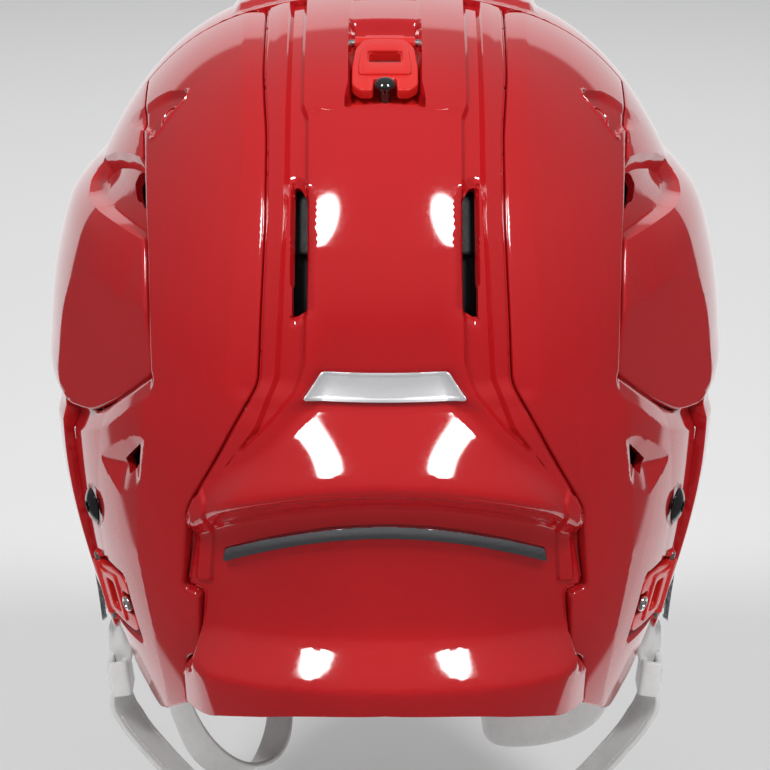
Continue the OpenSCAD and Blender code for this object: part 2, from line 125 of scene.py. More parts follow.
def make_world():
    """Dim room whose far side, ahead of the helmet, is a bright backdrop that widens towards the ground."""
    world = bpy.data.worlds.new("studio")
    bpy.context.scene.world = world
    world.use_nodes = True
    tree = world.node_tree
    tree.nodes.clear()
    out = tree.nodes.new("ShaderNodeOutputWorld")
    shade = tree.nodes.new("ShaderNodeBackground")
    place = tree.nodes.new("ShaderNodeTexCoord")
    height = tree.nodes.new("ShaderNodeSeparateXYZ")
    tree.links.new(place.outputs["Generated"], height.inputs[0])
    ceiling = tree.nodes.new("ShaderNodeValToRGB")
    ceiling.color_ramp.elements[0].position = 0.0
    ceiling.color_ramp.elements[0].color = (0.12, 0.12, 0.125, 1)
    ceiling.color_ramp.elements[1].position = 0.55
    ceiling.color_ramp.elements[1].color = (0.27, 0.27, 0.275, 1)
    tree.links.new(height.outputs["Z"], ceiling.inputs["Fac"])
    colour = ceiling.outputs["Color"]
    for toward, edge, level in (((0, -0.98, -0.20), 0.715, 0.86), ((0, -0.80, -0.60), 0.70, 0.80)):
        along = tree.nodes.new("ShaderNodeVectorMath")
        along.operation = "DOT_PRODUCT"
        along.inputs[1].default_value = toward
        patch = tree.nodes.new("ShaderNodeValToRGB")
        patch.color_ramp.elements[0].position = edge
        patch.color_ramp.elements[0].color = (0, 0, 0, 1)
        patch.color_ramp.elements[1].position = edge + 0.03
        patch.color_ramp.elements[1].color = (level, level, level + 0.01, 1)
        brighter = tree.nodes.new("ShaderNodeMix")
        brighter.data_type = "RGBA"
        brighter.blend_type = "LIGHTEN"
        brighter.inputs["Factor"].default_value = 1
        tree.links.new(place.outputs["Generated"], along.inputs[0])
        tree.links.new(along.outputs["Value"], patch.inputs["Fac"])
        tree.links.new(patch.outputs["Color"], brighter.inputs["A"])
        tree.links.new(colour, brighter.inputs["B"])
        colour = brighter.outputs["Result"]
    tree.links.new(colour, shade.inputs["Color"])
    tree.links.new(shade.outputs["Background"], out.inputs["Surface"])


def make_stage():
    """Pale floor below the chin cup."""
    half = 4.0
    z = cad_low[2] - 0.004
    mesh = bpy.data.meshes.new("floor")
    mesh.from_pydata(
        [(-half, -half, z), (half, -half, z), (half, half, z), (-half, half, z)], [], [(0, 1, 2, 3)]
    )
    floor = bpy.data.objects.new("floor", mesh)
    bpy.context.scene.collection.objects.link(floor)
    material = bpy.data.materials.new("floor")
    material.use_nodes = True
    shader = material.node_tree.nodes["Principled BSDF"]
    shader.inputs["Base Color"].default_value = (0.80, 0.80, 0.80, 1)
    shader.inputs["Roughness"].default_value = 0.8
    mesh.materials.append(material)
    floor.visible_glossy = False
    floor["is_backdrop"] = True


make_camera()
softbox("key_left", 37, 48, 1.5, 0.34, 0.54, 11)
softbox("key_right", -37, 48, 1.5, 0.34, 0.54, 11)
softbox("front_fill", 180, 42, 1.9, 1.2, 0.9, 12, mirrored_in_gloss=False)
make_world()
make_stage()


# ---------------------------------------------------------------- master surface, in millimetres

SIDE_HALF, REAR_HALF, FRONT_HALF = 106.0, 138.0, 132.0
CROWN_ROUND, LOWER_DEPTH, GUARD_DEPTH = 132.5, 176.0, 260.0
CAP = (160.0, 190.0, 119.0)
BLEND_POWER = 24


def dome_radius(d, depth=LOWER_DEPTH):
    """Distance from the origin to the plain dome along unit directions d."""
    x, y, z = d.T
    deep_y = np.where(y > 0, REAR_HALF, FRONT_HALF)
    deep_z = np.where(z > 0, CROWN_ROUND, depth)
    body = np.sqrt((x / SIDE_HALF) ** 2 + (y / deep_y) ** 2 + (z / deep_z) ** 2)
    cap = np.sqrt((x / CAP[0]) ** 2 + (y / CAP[1]) ** 2 + (np.maximum(z, 0) / CAP[2]) ** 2)
    return (body**BLEND_POWER + cap**BLEND_POWER) ** (-1 / BLEND_POWER)


def smoothstep(t):
    t = np.clip(t, 0, 1)
    return t * t * (3 - 2 * t)


def ease(value, low, high):
    """0 below low, 1 above high, smooth between."""
    return smoothstep((value - low) / (high - low))


def linear(value, low, high):
    return np.clip((value - low) / (high - low), 0, 1)


def curve_through(t, points):
    """Smooth curve through given (t, value) pairs, monotone between neighbours."""
    t0, v0 = np.array(points, float).T
    slope = np.diff(v0) / np.diff(t0)
    tangent = np.concatenate(([slope[0]], (slope[:-1] + slope[1:]) / 2, [slope[-1]]))
    tangent[1:-1][slope[:-1] * slope[1:] <= 0] = 0
    t = np.clip(t, t0[0], t0[-1])
    k = np.clip(np.searchsorted(t0, t) - 1, 0, len(t0) - 2)
    h = t0[k + 1] - t0[k]
    s = (t - t0[k]) / h
    return (
        (2 * s**3 - 3 * s**2 + 1) * v0[k]
        + (s**3 - 2 * s**2 + s) * h * tangent[k]
        + (3 * s**2 - 2 * s**3) * v0[k + 1]
        + (s**3 - s**2) * h * tangent[k + 1]
    )


# ---------------------------------------------------------------- outlines


def rounded(points, times=3, closed=True):
    """Cuts an outline's corners again and again, which rounds them."""
    p = np.array(points, float)
    for _ in range(times):
        q = np.roll(p, -1, 0) if closed else p[1:]
        a = p if closed else p[:-1]
        cut = np.stack([0.75 * a + 0.25 * q, 0.25 * a + 0.75 * q], 1).reshape(-1, 2)
        p = cut if closed else np.vstack([p[:1], cut, p[-1:]])
    return p


def corner_round(points, radius, steps=4, closed=True):
    """Replaces each corner of an outline by an arc-like curve that starts radius before it."""
    p = [np.array(q, float) for q in points]
    n = len(p)
    out = []
    for i in range(n):
        if not closed and i in (0, n - 1):
            out.append(p[i])
            continue
        before, here, after = p[i - 1], p[i], p[(i + 1) % n]
        to_b, to_a = before - here, after - here
        r = min(radius, 0.45 * np.linalg.norm(to_b), 0.45 * np.linalg.norm(to_a))
        start = here + to_b / np.linalg.norm(to_b) * r
        end = here + to_a / np.linalg.norm(to_a) * r
        for k in range(steps + 1):
            t = k / steps
            out.append((1 - t) ** 2 * start + 2 * t * (1 - t) * here + t * t * end)
    return np.array(out)


def segments(px, py, points):
    """For each point: distance to the nearest segment of an open line, and on which side it lies."""
    p = np.array(points, float)
    best = np.full(len(px), 1e9)
    side = np.ones(len(px))
    for (ax, ay), (bx, by) in zip(p[:-1], p[1:]):
        dx, dy = bx - ax, by - ay
        t = np.clip(((px - ax) * dx + (py - ay) * dy) / (dx * dx + dy * dy), 0, 1)
        ex, ey = px - ax - t * dx, py - ay - t * dy
        d = np.hypot(ex, ey)
        cross = dx * (py - ay) - dy * (px - ax)
        near = d < best - 1e-9
        side[near] = np.where(cross[near] >= 0, 1, -1)
        best[near] = d[near]
    return best, side


def line_gap(px, py, points):
    """Signed distance to an open line, positive on its left."""
    best, side = segments(px, py, points)
    return best * side


def area_gap(px, py, points):
    """Signed distance to a closed outline, negative inside."""
    p = np.array(points, float)
    loop = np.vstack([p, p[:1]])
    best, _ = segments(px, py, loop)
    inside = np.zeros(len(px), bool)
    for (ax, ay), (bx, by) in zip(loop[:-1], loop[1:]):
        if ay == by:
            continue
        crosses = (ay > py) != (by > py)
        at = ax + (py - ay) * (bx - ax) / (by - ay)
        inside ^= crosses & (px < at)
    return np.where(inside, -best, best)


# ---------------------------------------------------------------- triangle skins


class Skin:
    """Triangles over the dome. d holds unit directions; fields are functions of the plain dome's points."""

    def __init__(self, keep, level, depth=LOWER_DEPTH):
        self.depth = depth
        g = (1 + 5**0.5) / 2
        d = [(-1, g, 0), (1, g, 0), (-1, -g, 0), (1, -g, 0), (0, -1, g), (0, 1, g)]
        d += [(0, -1, -g), (0, 1, -g), (g, 0, -1), (g, 0, 1), (-g, 0, -1), (-g, 0, 1)]
        f = [(0, 11, 5), (0, 5, 1), (0, 1, 7), (0, 7, 10), (0, 10, 11), (1, 5, 9), (5, 11, 4)]
        f += [(11, 10, 2), (10, 7, 6), (7, 1, 8), (3, 9, 4), (3, 4, 2), (3, 2, 6), (3, 6, 8)]
        f += [(3, 8, 9), (4, 9, 5), (2, 4, 11), (6, 2, 10), (8, 6, 7), (9, 8, 1)]
        self.d = unit(np.array(d, float))
        self.f = np.array(f)
        self.stamp = np.zeros(len(d), int)
        self.clock = 0
        self.known = {}
        for k in range(level):
            self.subdivide()
            if k > 2:
                self.drop(keep(self.base()) > -260 / 2**k)

    def base(self, which=slice(None)):
        d = self.d[which]
        return d * dome_radius(d, self.depth)[:, None]

    def value(self, field):
        """The field at every vertex; only vertices that are new or have moved are worked out again."""
        value, seen = self.known.get(field, (np.zeros(0), np.zeros(0, int)))
        grown = len(self.d) - len(value)
        value = np.concatenate([value, np.zeros(grown)])
        seen = np.concatenate([seen, np.full(grown, -1)])
        old = np.flatnonzero(seen != self.stamp)
        if len(old):
            value[old] = field(self.base(old))
            seen[old] = self.stamp[old]
        self.known[field] = (value, seen)
        return value

    def edges(self):
        """Unique edges, and for each triangle the numbers of its three edges."""
        e = np.sort(np.concatenate([self.f[:, [0, 1]], self.f[:, [1, 2]], self.f[:, [2, 0]]]), 1)
        key = e[:, 0].astype(np.int64) * (len(self.d) + 1) + e[:, 1]
        _, first, back = np.unique(key, return_index=True, return_inverse=True)
        n = len(self.f)
        return e[first], back.reshape(-1)[: 3 * n].reshape(3, n).T

    def add(self, d):
        self.clock += 1
        self.d = np.vstack([self.d, d])
        self.stamp = np.concatenate([self.stamp, np.full(len(d), self.clock)])

    def subdivide(self):
        e, of = self.edges()
        mid = len(self.d) + of
        a, b, c = self.f.T
        ab, bc, ca = mid.T
        self.add(unit(self.d[e[:, 0]] + self.d[e[:, 1]]))
        self.f = np.concatenate(
            [np.stack(t, 1) for t in ((a, ab, ca), (ab, b, bc), (ca, bc, c), (ab, bc, ca))]
        )

    def drop(self, good):
        """Keeps the triangles that have a good vertex."""
        self.f = self.f[good[self.f].any(1)]
        self.tidy()

    def tidy(self):
        used = np.zeros(len(self.d), bool)
        used[self.f] = True
        new = np.cumsum(used) - 1
        self.d = self.d[used]
        self.stamp = self.stamp[used]
        self.f = new[self.f]
        for field, (value, seen) in self.known.items():
            kept = used[: len(value)]
            self.known[field] = (value[kept], seen[kept])

    def cut(self, field, at=0.0, snap=0.18):
        """Splits triangles along the line where the field equals at; vertices very close to it move onto it.
        """
        value = self.value(field) - at
        near = (value[self.f] <= 0).any(1) & (value[self.f] >= 0).any(1)
        whole, self.f = self.f[~near], self.f[near]
        e, of = self.edges()
        self.clock += 1
        for end in (0, 1, 0, 1):
            va, vb = value[e[:, 0]], value[e[:, 1]]
            cross = va * vb < 0
            t = np.where(cross, va / np.where(cross, va - vb, 1), 0.5)
            close = t < snap if end == 0 else t > 1 - snap
            hit = np.flatnonzero(cross & close)
            who, first = np.unique(e[hit, end], return_index=True)
            hit = hit[first]
            share = t[hit][:, None]
            self.d[who] = unit(self.d[e[hit, 0]] * (1 - share) + self.d[e[hit, 1]] * share)
            self.stamp[who] = self.clock
            value[who] = 0
        va, vb = value[e[:, 0]], value[e[:, 1]]
        cross = va * vb < 0
        t = np.where(cross, va / np.where(cross, va - vb, 1), 0.5)
        number = np.full(len(e), -1)
        number[cross] = len(self.d) + np.arange(cross.sum())
        share = t[cross][:, None]
        self.add(unit(self.d[e[cross, 0]] * (1 - share) + self.d[e[cross, 1]] * share))
        value = np.concatenate([value, np.zeros(cross.sum())])
        split = number[of]
        count = (split >= 0).sum(1)
        parts = [whole, self.f[count == 0]]
        for crossings in (1, 2):
            rows = np.flatnonzero(count == crossings)
            k = np.argmax(split[rows] >= 0, 1) if crossings == 1 else np.argmax(split[rows] < 0, 1)
            f, row = self.f[rows], np.arange(len(rows))
            a, b, c = f[row, k], f[row, (k + 1) % 3], f[row, (k + 2) % 3]
            ab, bc, ca = (split[rows][row, (k + i) % 3] for i in range(3))
            if crossings == 1:
                parts += [np.stack([a, ab, c], 1), np.stack([ab, b, c], 1)]
            else:
                parts += [np.stack([a, b, bc], 1), np.stack([a, bc, ca], 1), np.stack([ca, bc, c], 1)]
        self.f = np.concatenate(parts)
        return value

    def clip(self, field, at=0.0):
        """Keeps what lies where the field is above at."""
        value = self.cut(field, at)
        self.f = self.f[value[self.f].sum(1) > 0]
        self.tidy()

    def lips(self, field, at, width):
        """Clips at the field's value and adds the lines that a rounded lip of this width needs."""
        self.clip(field, at)
        for share in (0.25, 0.6, 1.0):
            self.cut(field, at + width * share)


def unit(v):
    return v / np.linalg.norm(v, axis=-1, keepdims=True)


def lip(gap, width, radius=None):
    """How far a surface falls near its edge: a quarter round."""
    radius = width if radius is None else radius
    t = np.clip(1 - gap / width, 0, 1)
    return -radius * (1 - np.sqrt(np.maximum(0, 1 - t * t)))


def edge_loops(f):
    """Directed edges that belong to one triangle only."""
    e = np.concatenate([f[:, [0, 1]], f[:, [1, 2]], f[:, [2, 0]]])
    big = int(f.max()) + 2
    key = e[:, 0].astype(np.int64) * big + e[:, 1]
    back = e[:, 1].astype(np.int64) * big + e[:, 0]
    return e[~np.isin(key, back)]


def new_object(name, verts, faces, material, sharp=32, scale=MM):
    """Mesh object from arrays, smooth apart from edges sharper than the given angle."""
    mesh = bpy.data.meshes.new(name)
    faces = np.asarray(faces, np.int32)
    sides = faces.shape[1]
    mesh.vertices.add(len(verts))
    mesh.vertices.foreach_set("co", (np.asarray(verts, float) * scale).astype(np.float32).ravel())
    mesh.loops.add(faces.size)
    mesh.loops.foreach_set("vertex_index", faces.ravel())
    mesh.polygons.add(len(faces))
    mesh.polygons.foreach_set("loop_start", np.arange(0, faces.size, sides, dtype=np.int32))
    mesh.update(calc_edges=True)
    mesh.validate()
    mesh.shade_smooth()
    if sharp:
        mesh.set_sharp_from_angle(angle=math.radians(sharp))
    mesh.materials.append(material)
    obj = bpy.data.objects.new(name, mesh)
    bpy.context.scene.collection.objects.link(obj)
    return obj


def thick_object(name, skin, shape, thickness, material, sharp=44):
    """Closed shell from a skin: shape gives the radial offset in mm, thickness runs inwards."""
    base = skin.base()
    out = base + skin.d * shape(base, skin.d)[:, None]
    wall = thickness(base, skin.d) if callable(thickness) else thickness
    inner = out - skin.d * np.broadcast_to(wall, len(out))[:, None]
    n = len(out)
    rim = edge_loops(skin.f)
    a, b = rim.T
    sides = np.concatenate([np.stack([b, a, a + n], 1), np.stack([b, a + n, b + n], 1)])
    faces = np.concatenate([skin.f, skin.f[:, ::-1] + n, sides])
    return new_object(name, np.vstack([out, inner]), faces, material, sharp)


# ---------------------------------------------------------------- outlines of the shells, in millimetres

# Half of the seam round the nape panel, X and Z seen from behind, from the crown down
SEAM = corner_round(
    [(39, 150), (38.7, 104), (37.2, 90), (37.2, 67), (38.3, 46), (40, 19), (57, -15), (62, -25),
     (63.7, -54), (58.6, -54.5), (58.6, -77), (62.7, -79), (62.7, -150)], 3.0, closed=False)
# Half of the outer edge of the rear shell
WING = corner_round(
    [(78, 150), (77, 78), (74.6, 49), (73.4, 15), (95, -8), (125, -10), (150, -10)], 2.5, closed=False)
# Rear shell from the side, Y and Z
REAR_SIDE = corner_round(
    [(6, 150), (190, 150), (190, -90), (118, -90), (100, -93), (82, -98), (62, -106), (53, -109),
     (45, -98), (41, -70), (38, -40), (38, 0), (6, 60)], 3.0)
# Front shell from the side
FRONT_SIDE = corner_round(
    [(190, 160), (190, 20), (60, -9), (38, -10), (37, -40), (37, -86), (29, -91), (25, -80), (21, -26),
     (12, -14), (-28, -14), (-40, -26), (-47, -54), (-60, -63), (-86, -53), (-104, -16), (-120, 12),
     (-190, 22), (-190, 160)], 4.0)
# Crease of the bevel that leads down to the seam
BEVEL = [(45.6, 150), (45.4, 111), (43.8, 87), (45.1, 69), (47, 46), (48.9, 24), (48.4, 17)]
# Crease where the rear shell turns from the back to the side
ARM_CREASE = [(73.6, 26), (75.4, -4), (77, -24), (77.3, -44), (72.6, -76), (70, -93), (69, -120)]
# Side of the raised middle of the nape panel, down to the swelling that spreads below the badge
PLATEAU = [(25.2, 150), (25.2, 98), (23.6, 95), (23.4, 60), (24.5, 27), (27.8, 17.6), (35.8, 6.5),
           (44.9, -3.5), (54.6, -16), (62, -27), (70, -40)]
# Inner side of the rail that runs along the seam
RAIL = [(31, 150), (31, 80), (33.2, 40), (34.6, 22), (40, 6), (52, -12), (64, -30)]
# Offsets of the nape panel's middle from the plain dome, by height over its arched shoulder
NAPE_PROFILE = [
    (-110, 7), (-90, 9), (-78, 10.1), (-74.5, 10.2), (-72.8, 9.9), (-71.8, 8.9), (-70.8, 7.1), (-69.4, 4.3),
    (-68, 1.5), (-66.6, -1.2), (-65, -3), (-62, -4.4), (-56, -5.2), (-46, -5.3), (-28, -5.3), (-22, -5.1),
    (-19.5, -4.3), (-17, -2.3), (-14.5, 1.1), (-12, 4.8), (-10.6, 6.7), (-9.4, 7.7), (-8.3, 7.9), (-7, 7.6),
    (-5, 6.5), (-2, 4.1), (3, -0.15), (7, -3.4), (10.6, -6.1), (11.8, -6.9), (13.4, -7.4), (15, -7.5),
    (20, -7.3), (28, -5.6), (42, -2), (60, 0),
]
# Heights where that profile turns quickly
NAPE_LINES = (-74.5, -72.8, -71.8, -70.8, -69.4, -68, -66.6, -65, -22, -19.5, -17, -14.5, -12, -10.6,
              -9.4, -8.3, -7, -5, 10.6, 11.8, 13.4)
SHOULDER_ARCH = 0.0042
LONG_VENT = corner_round([(24.3, 43), (24.3, 74), (26.6, 77.6), (28.7, 77.6), (29.1, 40)], 0.8)
SHELL_WALL, FLANGE_DROP, BRIDGE_DROP = 3.0, 4.4, 8.3
GAP = 0.6


def spot(azimuth, elevation):
    """Point on the dome with its outward normal and the two directions along the surface, forwards and up."""
    def at(a, e):
        a, e = math.radians(a), math.radians(e)
        d = np.array([[math.sin(a) * math.cos(e), math.cos(a) * math.cos(e), math.sin(e)]])
        return (d * dome_radius(d)[:, None])[0]

    n = unit(np.cross(at(azimuth, elevation + 1) - at(azimuth, elevation - 1),
                      at(azimuth + 1, elevation) - at(azimuth - 1, elevation)))
    side = unit(np.cross((0, 0, 1), n))
    side = side if side[0] > 0 else -side
    up = np.cross(n, side)
    up = up if up[2] > 0 else -up
    return at(azimuth, elevation), n, side, up


def local(p, place):
    """Coordinates of points, folded to the left half, in a spot's own directions."""
    centre, n, side, up = place
    q = np.column_stack([np.abs(p[:, 0]), p[:, 1], p[:, 2]]) - centre
    return q @ side, q @ up, q @ n


EYE = spot(54.2, 45.7)
LOWER_VENT = spot(41.5, -7)
UPPER_VENT = spot(54.9, 34.4)
SIDE_SCREW = spot(59, -20)
CAGE_NUT = spot(156, 21)
SIDE_PIN, SIDE_YAW, SIDE_PITCH, SIDE_REACH = (91, 46, -70), 24, 105, 25
TOP_PIN, TOP_PITCH, TOP_REACH = (0, 50, 110.6), 18, 33
# The catch peg stands this far inside a lever's free end
PEG_INSET = 3.6


def turn(axis, degrees):
    return Matrix.Rotation(math.radians(degrees), 4, axis)


SIDE_CLIP = (Matrix.Translation(SIDE_PIN) @ turn("Z", SIDE_YAW) @ turn("Y", SIDE_PITCH) @ turn("Z", 90))
TOP_CLIP = Matrix.Translation(TOP_PIN) @ turn("X", -TOP_PITCH) @ turn("Z", 90)


def in_frame(p, matrix, fold=True):
    """Points in a clip's own frame; fold maps the right half of the helmet onto the left."""
    q = p.copy()
    if fold:
        q[:, 0] = np.abs(q[:, 0])
    m = np.array(matrix.inverted())
    return q @ m[:3, :3].T + m[:3, 3]


def to_plane(p, d, matrix, height):
    """Radial offset that brings each point of the plain dome onto a plane in a clip's frame."""
    q = d.copy()
    q[:, 0] = np.abs(q[:, 0])
    m = np.array(matrix)
    n = m[:3, 2]
    level = n @ m[:3, 3] + height
    return level / (q @ n) - np.linalg.norm(p, axis=1)


def rear_gap(p):
    """Distance into the rear shell's zone from its outer edges."""
    u = np.abs(p[:, 0])
    return np.minimum(-line_gap(u, p[:, 2], WING), -area_gap(p[:, 1], p[:, 2], REAR_SIDE))


def seam_gap(p):
    """Distance outwards from the seam round the nape panel."""
    gap = line_gap(np.abs(p[:, 0]), p[:, 2], SEAM)
    return np.where(p[:, 1] > 0, gap, 60.0)


def nape_gap(p):
    """Distance inwards from the seam round the nape panel."""
    return -seam_gap(p)


def front_gap(p):
    return -area_gap(p[:, 1], p[:, 2], FRONT_SIDE)


def area_in(place, outline):
    """Field: distance outside an outline drawn in a spot's own directions."""
    reach = np.hypot(*np.array(outline).T).max() + 12

    def field(p):
        s, u, n = local(p, place)
        far = np.sqrt(s * s + u * u + n * n)
        gap = far - reach + 12
        near = far < reach
        gap[near] = area_gap(s[near], u[near], outline)
        return gap
    return field


EYE_OUTLINE = corner_round(
    [(31, -8), (25, -2.2), (17, 3.8), (10, 7.4), (2, 9.6), (-3, 9.8), (-2.4, 0), (-1.2, -8.5), (8, -7.6),
     (18, -8.6)], 2)
LOWER_HOLE = corner_round([(7.6, -2.6), (-0.6, 2.9), (-6.4, 7.0), (-5.8, 0.4), (3.4, -6.2)], 0.8)
LOWER_SCOOP = corner_round([(24, -5.5), (8, -13), (-6, -7), (-10.5, 10), (-2, 9), (10, 3)], 3)
UPPER_HOLE = corner_round([(7.5, 1.8), (5, 4.4), (-7, 5), (-14, 1), (-12, -5), (0.5, -3.6)], 1.6)
UPPER_SCOOP = corner_round(
    [(45, 1), (30, 5), (14, 7.4), (-4, 8.6), (-34, 9), (-40, -14), (-20, -14.5), (-4, -14), (11, -13.4),
     (28, -11), (40, -6.5)], 3)

eye_field = area_in(EYE, EYE_OUTLINE)
lower_hole = area_in(LOWER_VENT, LOWER_HOLE)
lower_scoop = area_in(LOWER_VENT, LOWER_SCOOP)
upper_hole = area_in(UPPER_VENT, UPPER_HOLE)
upper_scoop = area_in(UPPER_VENT, UPPER_SCOOP)


def round_field(place, radius):
    def field(p):
        s, u, n = local(p, place)
        return np.where(n > -40, np.hypot(s, u) - radius, 99.0)
    return field


screw_dish = round_field(SIDE_SCREW, 7.4)


def clip_pocket(matrix, reach, fold):
    """Field: distance outside the rounded pocket of a lever clip."""
    box = corner_round([(-4.4, -13.0), (reach + 3.3, -13.0), (reach + 3.3, 13.0), (-4.4, 13.0)], 4)
    def field(p):
        q = in_frame(p, matrix, fold)
        far = np.linalg.norm(q, axis=1)
        gap = far - reach
        near = far < reach + 20
        gap[near] = area_gap(q[near, 0], q[near, 1], box)
        return gap
    return field


side_pocket = clip_pocket(SIDE_CLIP, SIDE_REACH, True)


def eye_hollow(p):
    """Almond hollow with a steep upper wall, deepest round the plug, and a bead along its straight edge."""
    s, _, _ = local(p, EYE)
    gap = eye_field(p)
    depth = 0.6 + 1.5 * ease(-s, -26, -4)
    wall = 1.0 + 3.0 * ease(s, 4, 20)
    bead = 0.45 * (1 - linear(np.abs(gap - 0.5), 0, 0.5)) * (s < 1)
    return bead - depth * linear(-gap, 0, wall)


# ---------------------------------------------------------------- materials


def node_material(name):
    material = bpy.data.materials.new(name)
    material.use_nodes = True
    tree = material.node_tree
    shader = tree.nodes["Principled BSDF"]
    place = tree.nodes.new("ShaderNodeTexCoord")
    return material, tree, shader, place.outputs["Object"]


def noise(tree, vector, scale, detail=4, rough=0.55, stretch=None):
    if stretch is not None:
        mapping = tree.nodes.new("ShaderNodeMapping")
        mapping.inputs["Scale"].default_value = stretch
        tree.links.new(vector, mapping.inputs["Vector"])
        vector = mapping.outputs["Vector"]
    node = tree.nodes.new("ShaderNodeTexNoise")
    node.inputs["Scale"].default_value = scale
    node.inputs["Detail"].default_value = detail
    node.inputs["Roughness"].default_value = rough
    tree.links.new(vector, node.inputs["Vector"])
    return node.outputs["Fac"]


def ramp(tree, value, low, high, at=(0.3, 0.7)):
    node = tree.nodes.new("ShaderNodeValToRGB")
    for element, place, colour in zip(node.color_ramp.elements, at, (low, high)):
        element.position = place
        element.color = (*colour, 1) if hasattr(colour, "__len__") else (colour, colour, colour, 1)
    tree.links.new(value, node.inputs["Fac"])
    return node.outputs["Color"]


def bump(tree, shader, height, strength, distance, below=None):
    node = tree.nodes.new("ShaderNodeBump")
    node.inputs["Strength"].default_value = strength
    node.inputs["Distance"].default_value = distance
    tree.links.new(height, node.inputs["Height"])
    if below is not None:
        tree.links.new(below, node.inputs["Normal"])
    tree.links.new(node.outputs["Normal"], shader.inputs["Normal"])
    return node.outputs["Normal"]


def gloss_plastic(name, dark, light, rough=(0.05, 0.11), coat=0.6, peel=0.05):
    """Moulded plastic with a faint flow pattern, fine specks in the gloss and a trace of surface waviness."""
    material, tree, shader, place = node_material(name)
    flow = noise(tree, place, 14, 3, 0.5, (1, 1, 0.5))
    tree.links.new(ramp(tree, flow, dark, light), shader.inputs["Base Color"])
    speck = noise(tree, place, 900, 2)
    tree.links.new(ramp(tree, speck, rough[0], rough[1]), shader.inputs["Roughness"])
    wave = noise(tree, place, 55, 2)
    first = bump(tree, shader, wave, peel, 0.0004)
    fine = noise(tree, place, 1400, 2)
    bump(tree, shader, fine, 0.02, 0.0001, first)
    shader.inputs["Coat Weight"].default_value = coat
    shader.inputs["Coat Roughness"].default_value = 0.04
    shader.inputs["IOR"].default_value = 1.5
    return material


def metal(name, low, high, rough, stretch=None, scale=300, strength=0.1, metallic=1.0):
    material, tree, shader, place = node_material(name)
    grain = noise(tree, place, scale, 4, 0.6, stretch)
    tree.links.new(ramp(tree, grain, low, high), shader.inputs["Base Color"])
    tree.links.new(ramp(tree, grain, rough[0], rough[1]), shader.inputs["Roughness"])
    bump(tree, shader, grain, strength, 0.0001)
    shader.inputs["Metallic"].default_value = metallic
    return material


def matte(name, low, high, rough, scale, strength, distance, sheen=0.0):
    material, tree, shader, place = node_material(name)
    grain = noise(tree, place, scale, 5, 0.6)
    tree.links.new(ramp(tree, grain, low, high), shader.inputs["Base Color"])
    tree.links.new(ramp(tree, grain, rough[0], rough[1]), shader.inputs["Roughness"])
    bump(tree, shader, grain, strength, distance)
    shader.inputs["Sheen Weight"].default_value = sheen
    return material


def clear_plastic(name, tint):
    """Clear impact plastic with a faint haze and moulding ripples."""
    material, tree, shader, place = node_material(name)
    haze = noise(tree, place, 60, 3)
    tree.links.new(ramp(tree, haze, tuple(0.94 * c for c in tint), tint), shader.inputs["Base Color"])
    tree.links.new(ramp(tree, haze, 0.05, 0.16), shader.inputs["Roughness"])
    bump(tree, shader, noise(tree, place, 130, 2), 0.06, 0.0002)
    shader.inputs["Transmission Weight"].default_value = 0.92
    shader.inputs["IOR"].default_value = 1.49
    return material


RED = gloss_plastic("shell_red", (0.425, 0.0075, 0.0105), (0.475, 0.0095, 0.0125))
CLIP_RED = gloss_plastic("clip_red", (0.60, 0.016, 0.014), (0.66, 0.02, 0.017), (0.16, 0.26), 0.3)
BLACK = gloss_plastic("gloss_black", (0.006, 0.006, 0.007), (0.012, 0.012, 0.012), (0.08, 0.18))
DARK = gloss_plastic("dark_inner_plastic", (0.008, 0.008, 0.008), (0.014, 0.014, 0.014), (0.55, 0.7), 0.0)
BADGE = metal("badge_silver", (0.80, 0.80, 0.82), (0.90, 0.90, 0.92), (0.30, 0.38), (1, 1, 14), 900, 0.01,
              0.55)
TRIM = metal("dark_chrome", (0.33, 0.33, 0.35), (0.41, 0.41, 0.43), (0.03, 0.07), (1, 1, 12), 120, 0.01)
STEEL = metal("plated_steel", (0.50, 0.50, 0.50), (0.66, 0.66, 0.65), (0.22, 0.38), (1, 8, 1), 260, 0.1)
WEBBING = matte("strap_webbing", (0.70, 0.70, 0.69), (0.80, 0.80, 0.79), (0.42, 0.58), 90, 0.12, 0.0004)
WHITE_PLASTIC = matte("soft_white_plastic", (0.76, 0.76, 0.75), (0.83, 0.83, 0.82), (0.38, 0.5), 260, 0.06,
                      0.0002)
THREAD = matte("strap_thread", (0.70, 0.70, 0.68), (0.84, 0.84, 0.82), (0.6, 0.8), 2400, 0.3, 0.0001)
POLISHED = metal("polished_steel", (0.72, 0.72, 0.72), (0.82, 0.82, 0.81), (0.05, 0.12), None, 500, 0.02)
CLEAR = clear_plastic("clear_guard", (0.80, 0.86, 0.90))
FOAM = matte("bead_foam", (0.012, 0.012, 0.013), (0.028, 0.028, 0.03), (0.75, 0.92), 420, 0.5, 0.0006)
PAD = matte("brushed_lining", (0.018, 0.018, 0.02), (0.04, 0.04, 0.043), (0.85, 0.97), 1500, 0.6, 0.0004, 0.4)


# ---------------------------------------------------------------- the three shells


def bevel_field(p):
    return line_gap(np.abs(p[:, 0]), p[:, 2], BEVEL)


def arm_crease(p):
    """Distance outwards from the crease where the rear shell turns from the back to the side."""
    return line_gap(np.abs(p[:, 0]), p[:, 2], ARM_CREASE)


def ridge_field(p):
    """Distance inwards from the sloping top edge of the rear shell's arm."""
    return -line_gap(np.abs(p[:, 0]), p[:, 2], [(73.4, 15), (95, -8), (125, -34)])


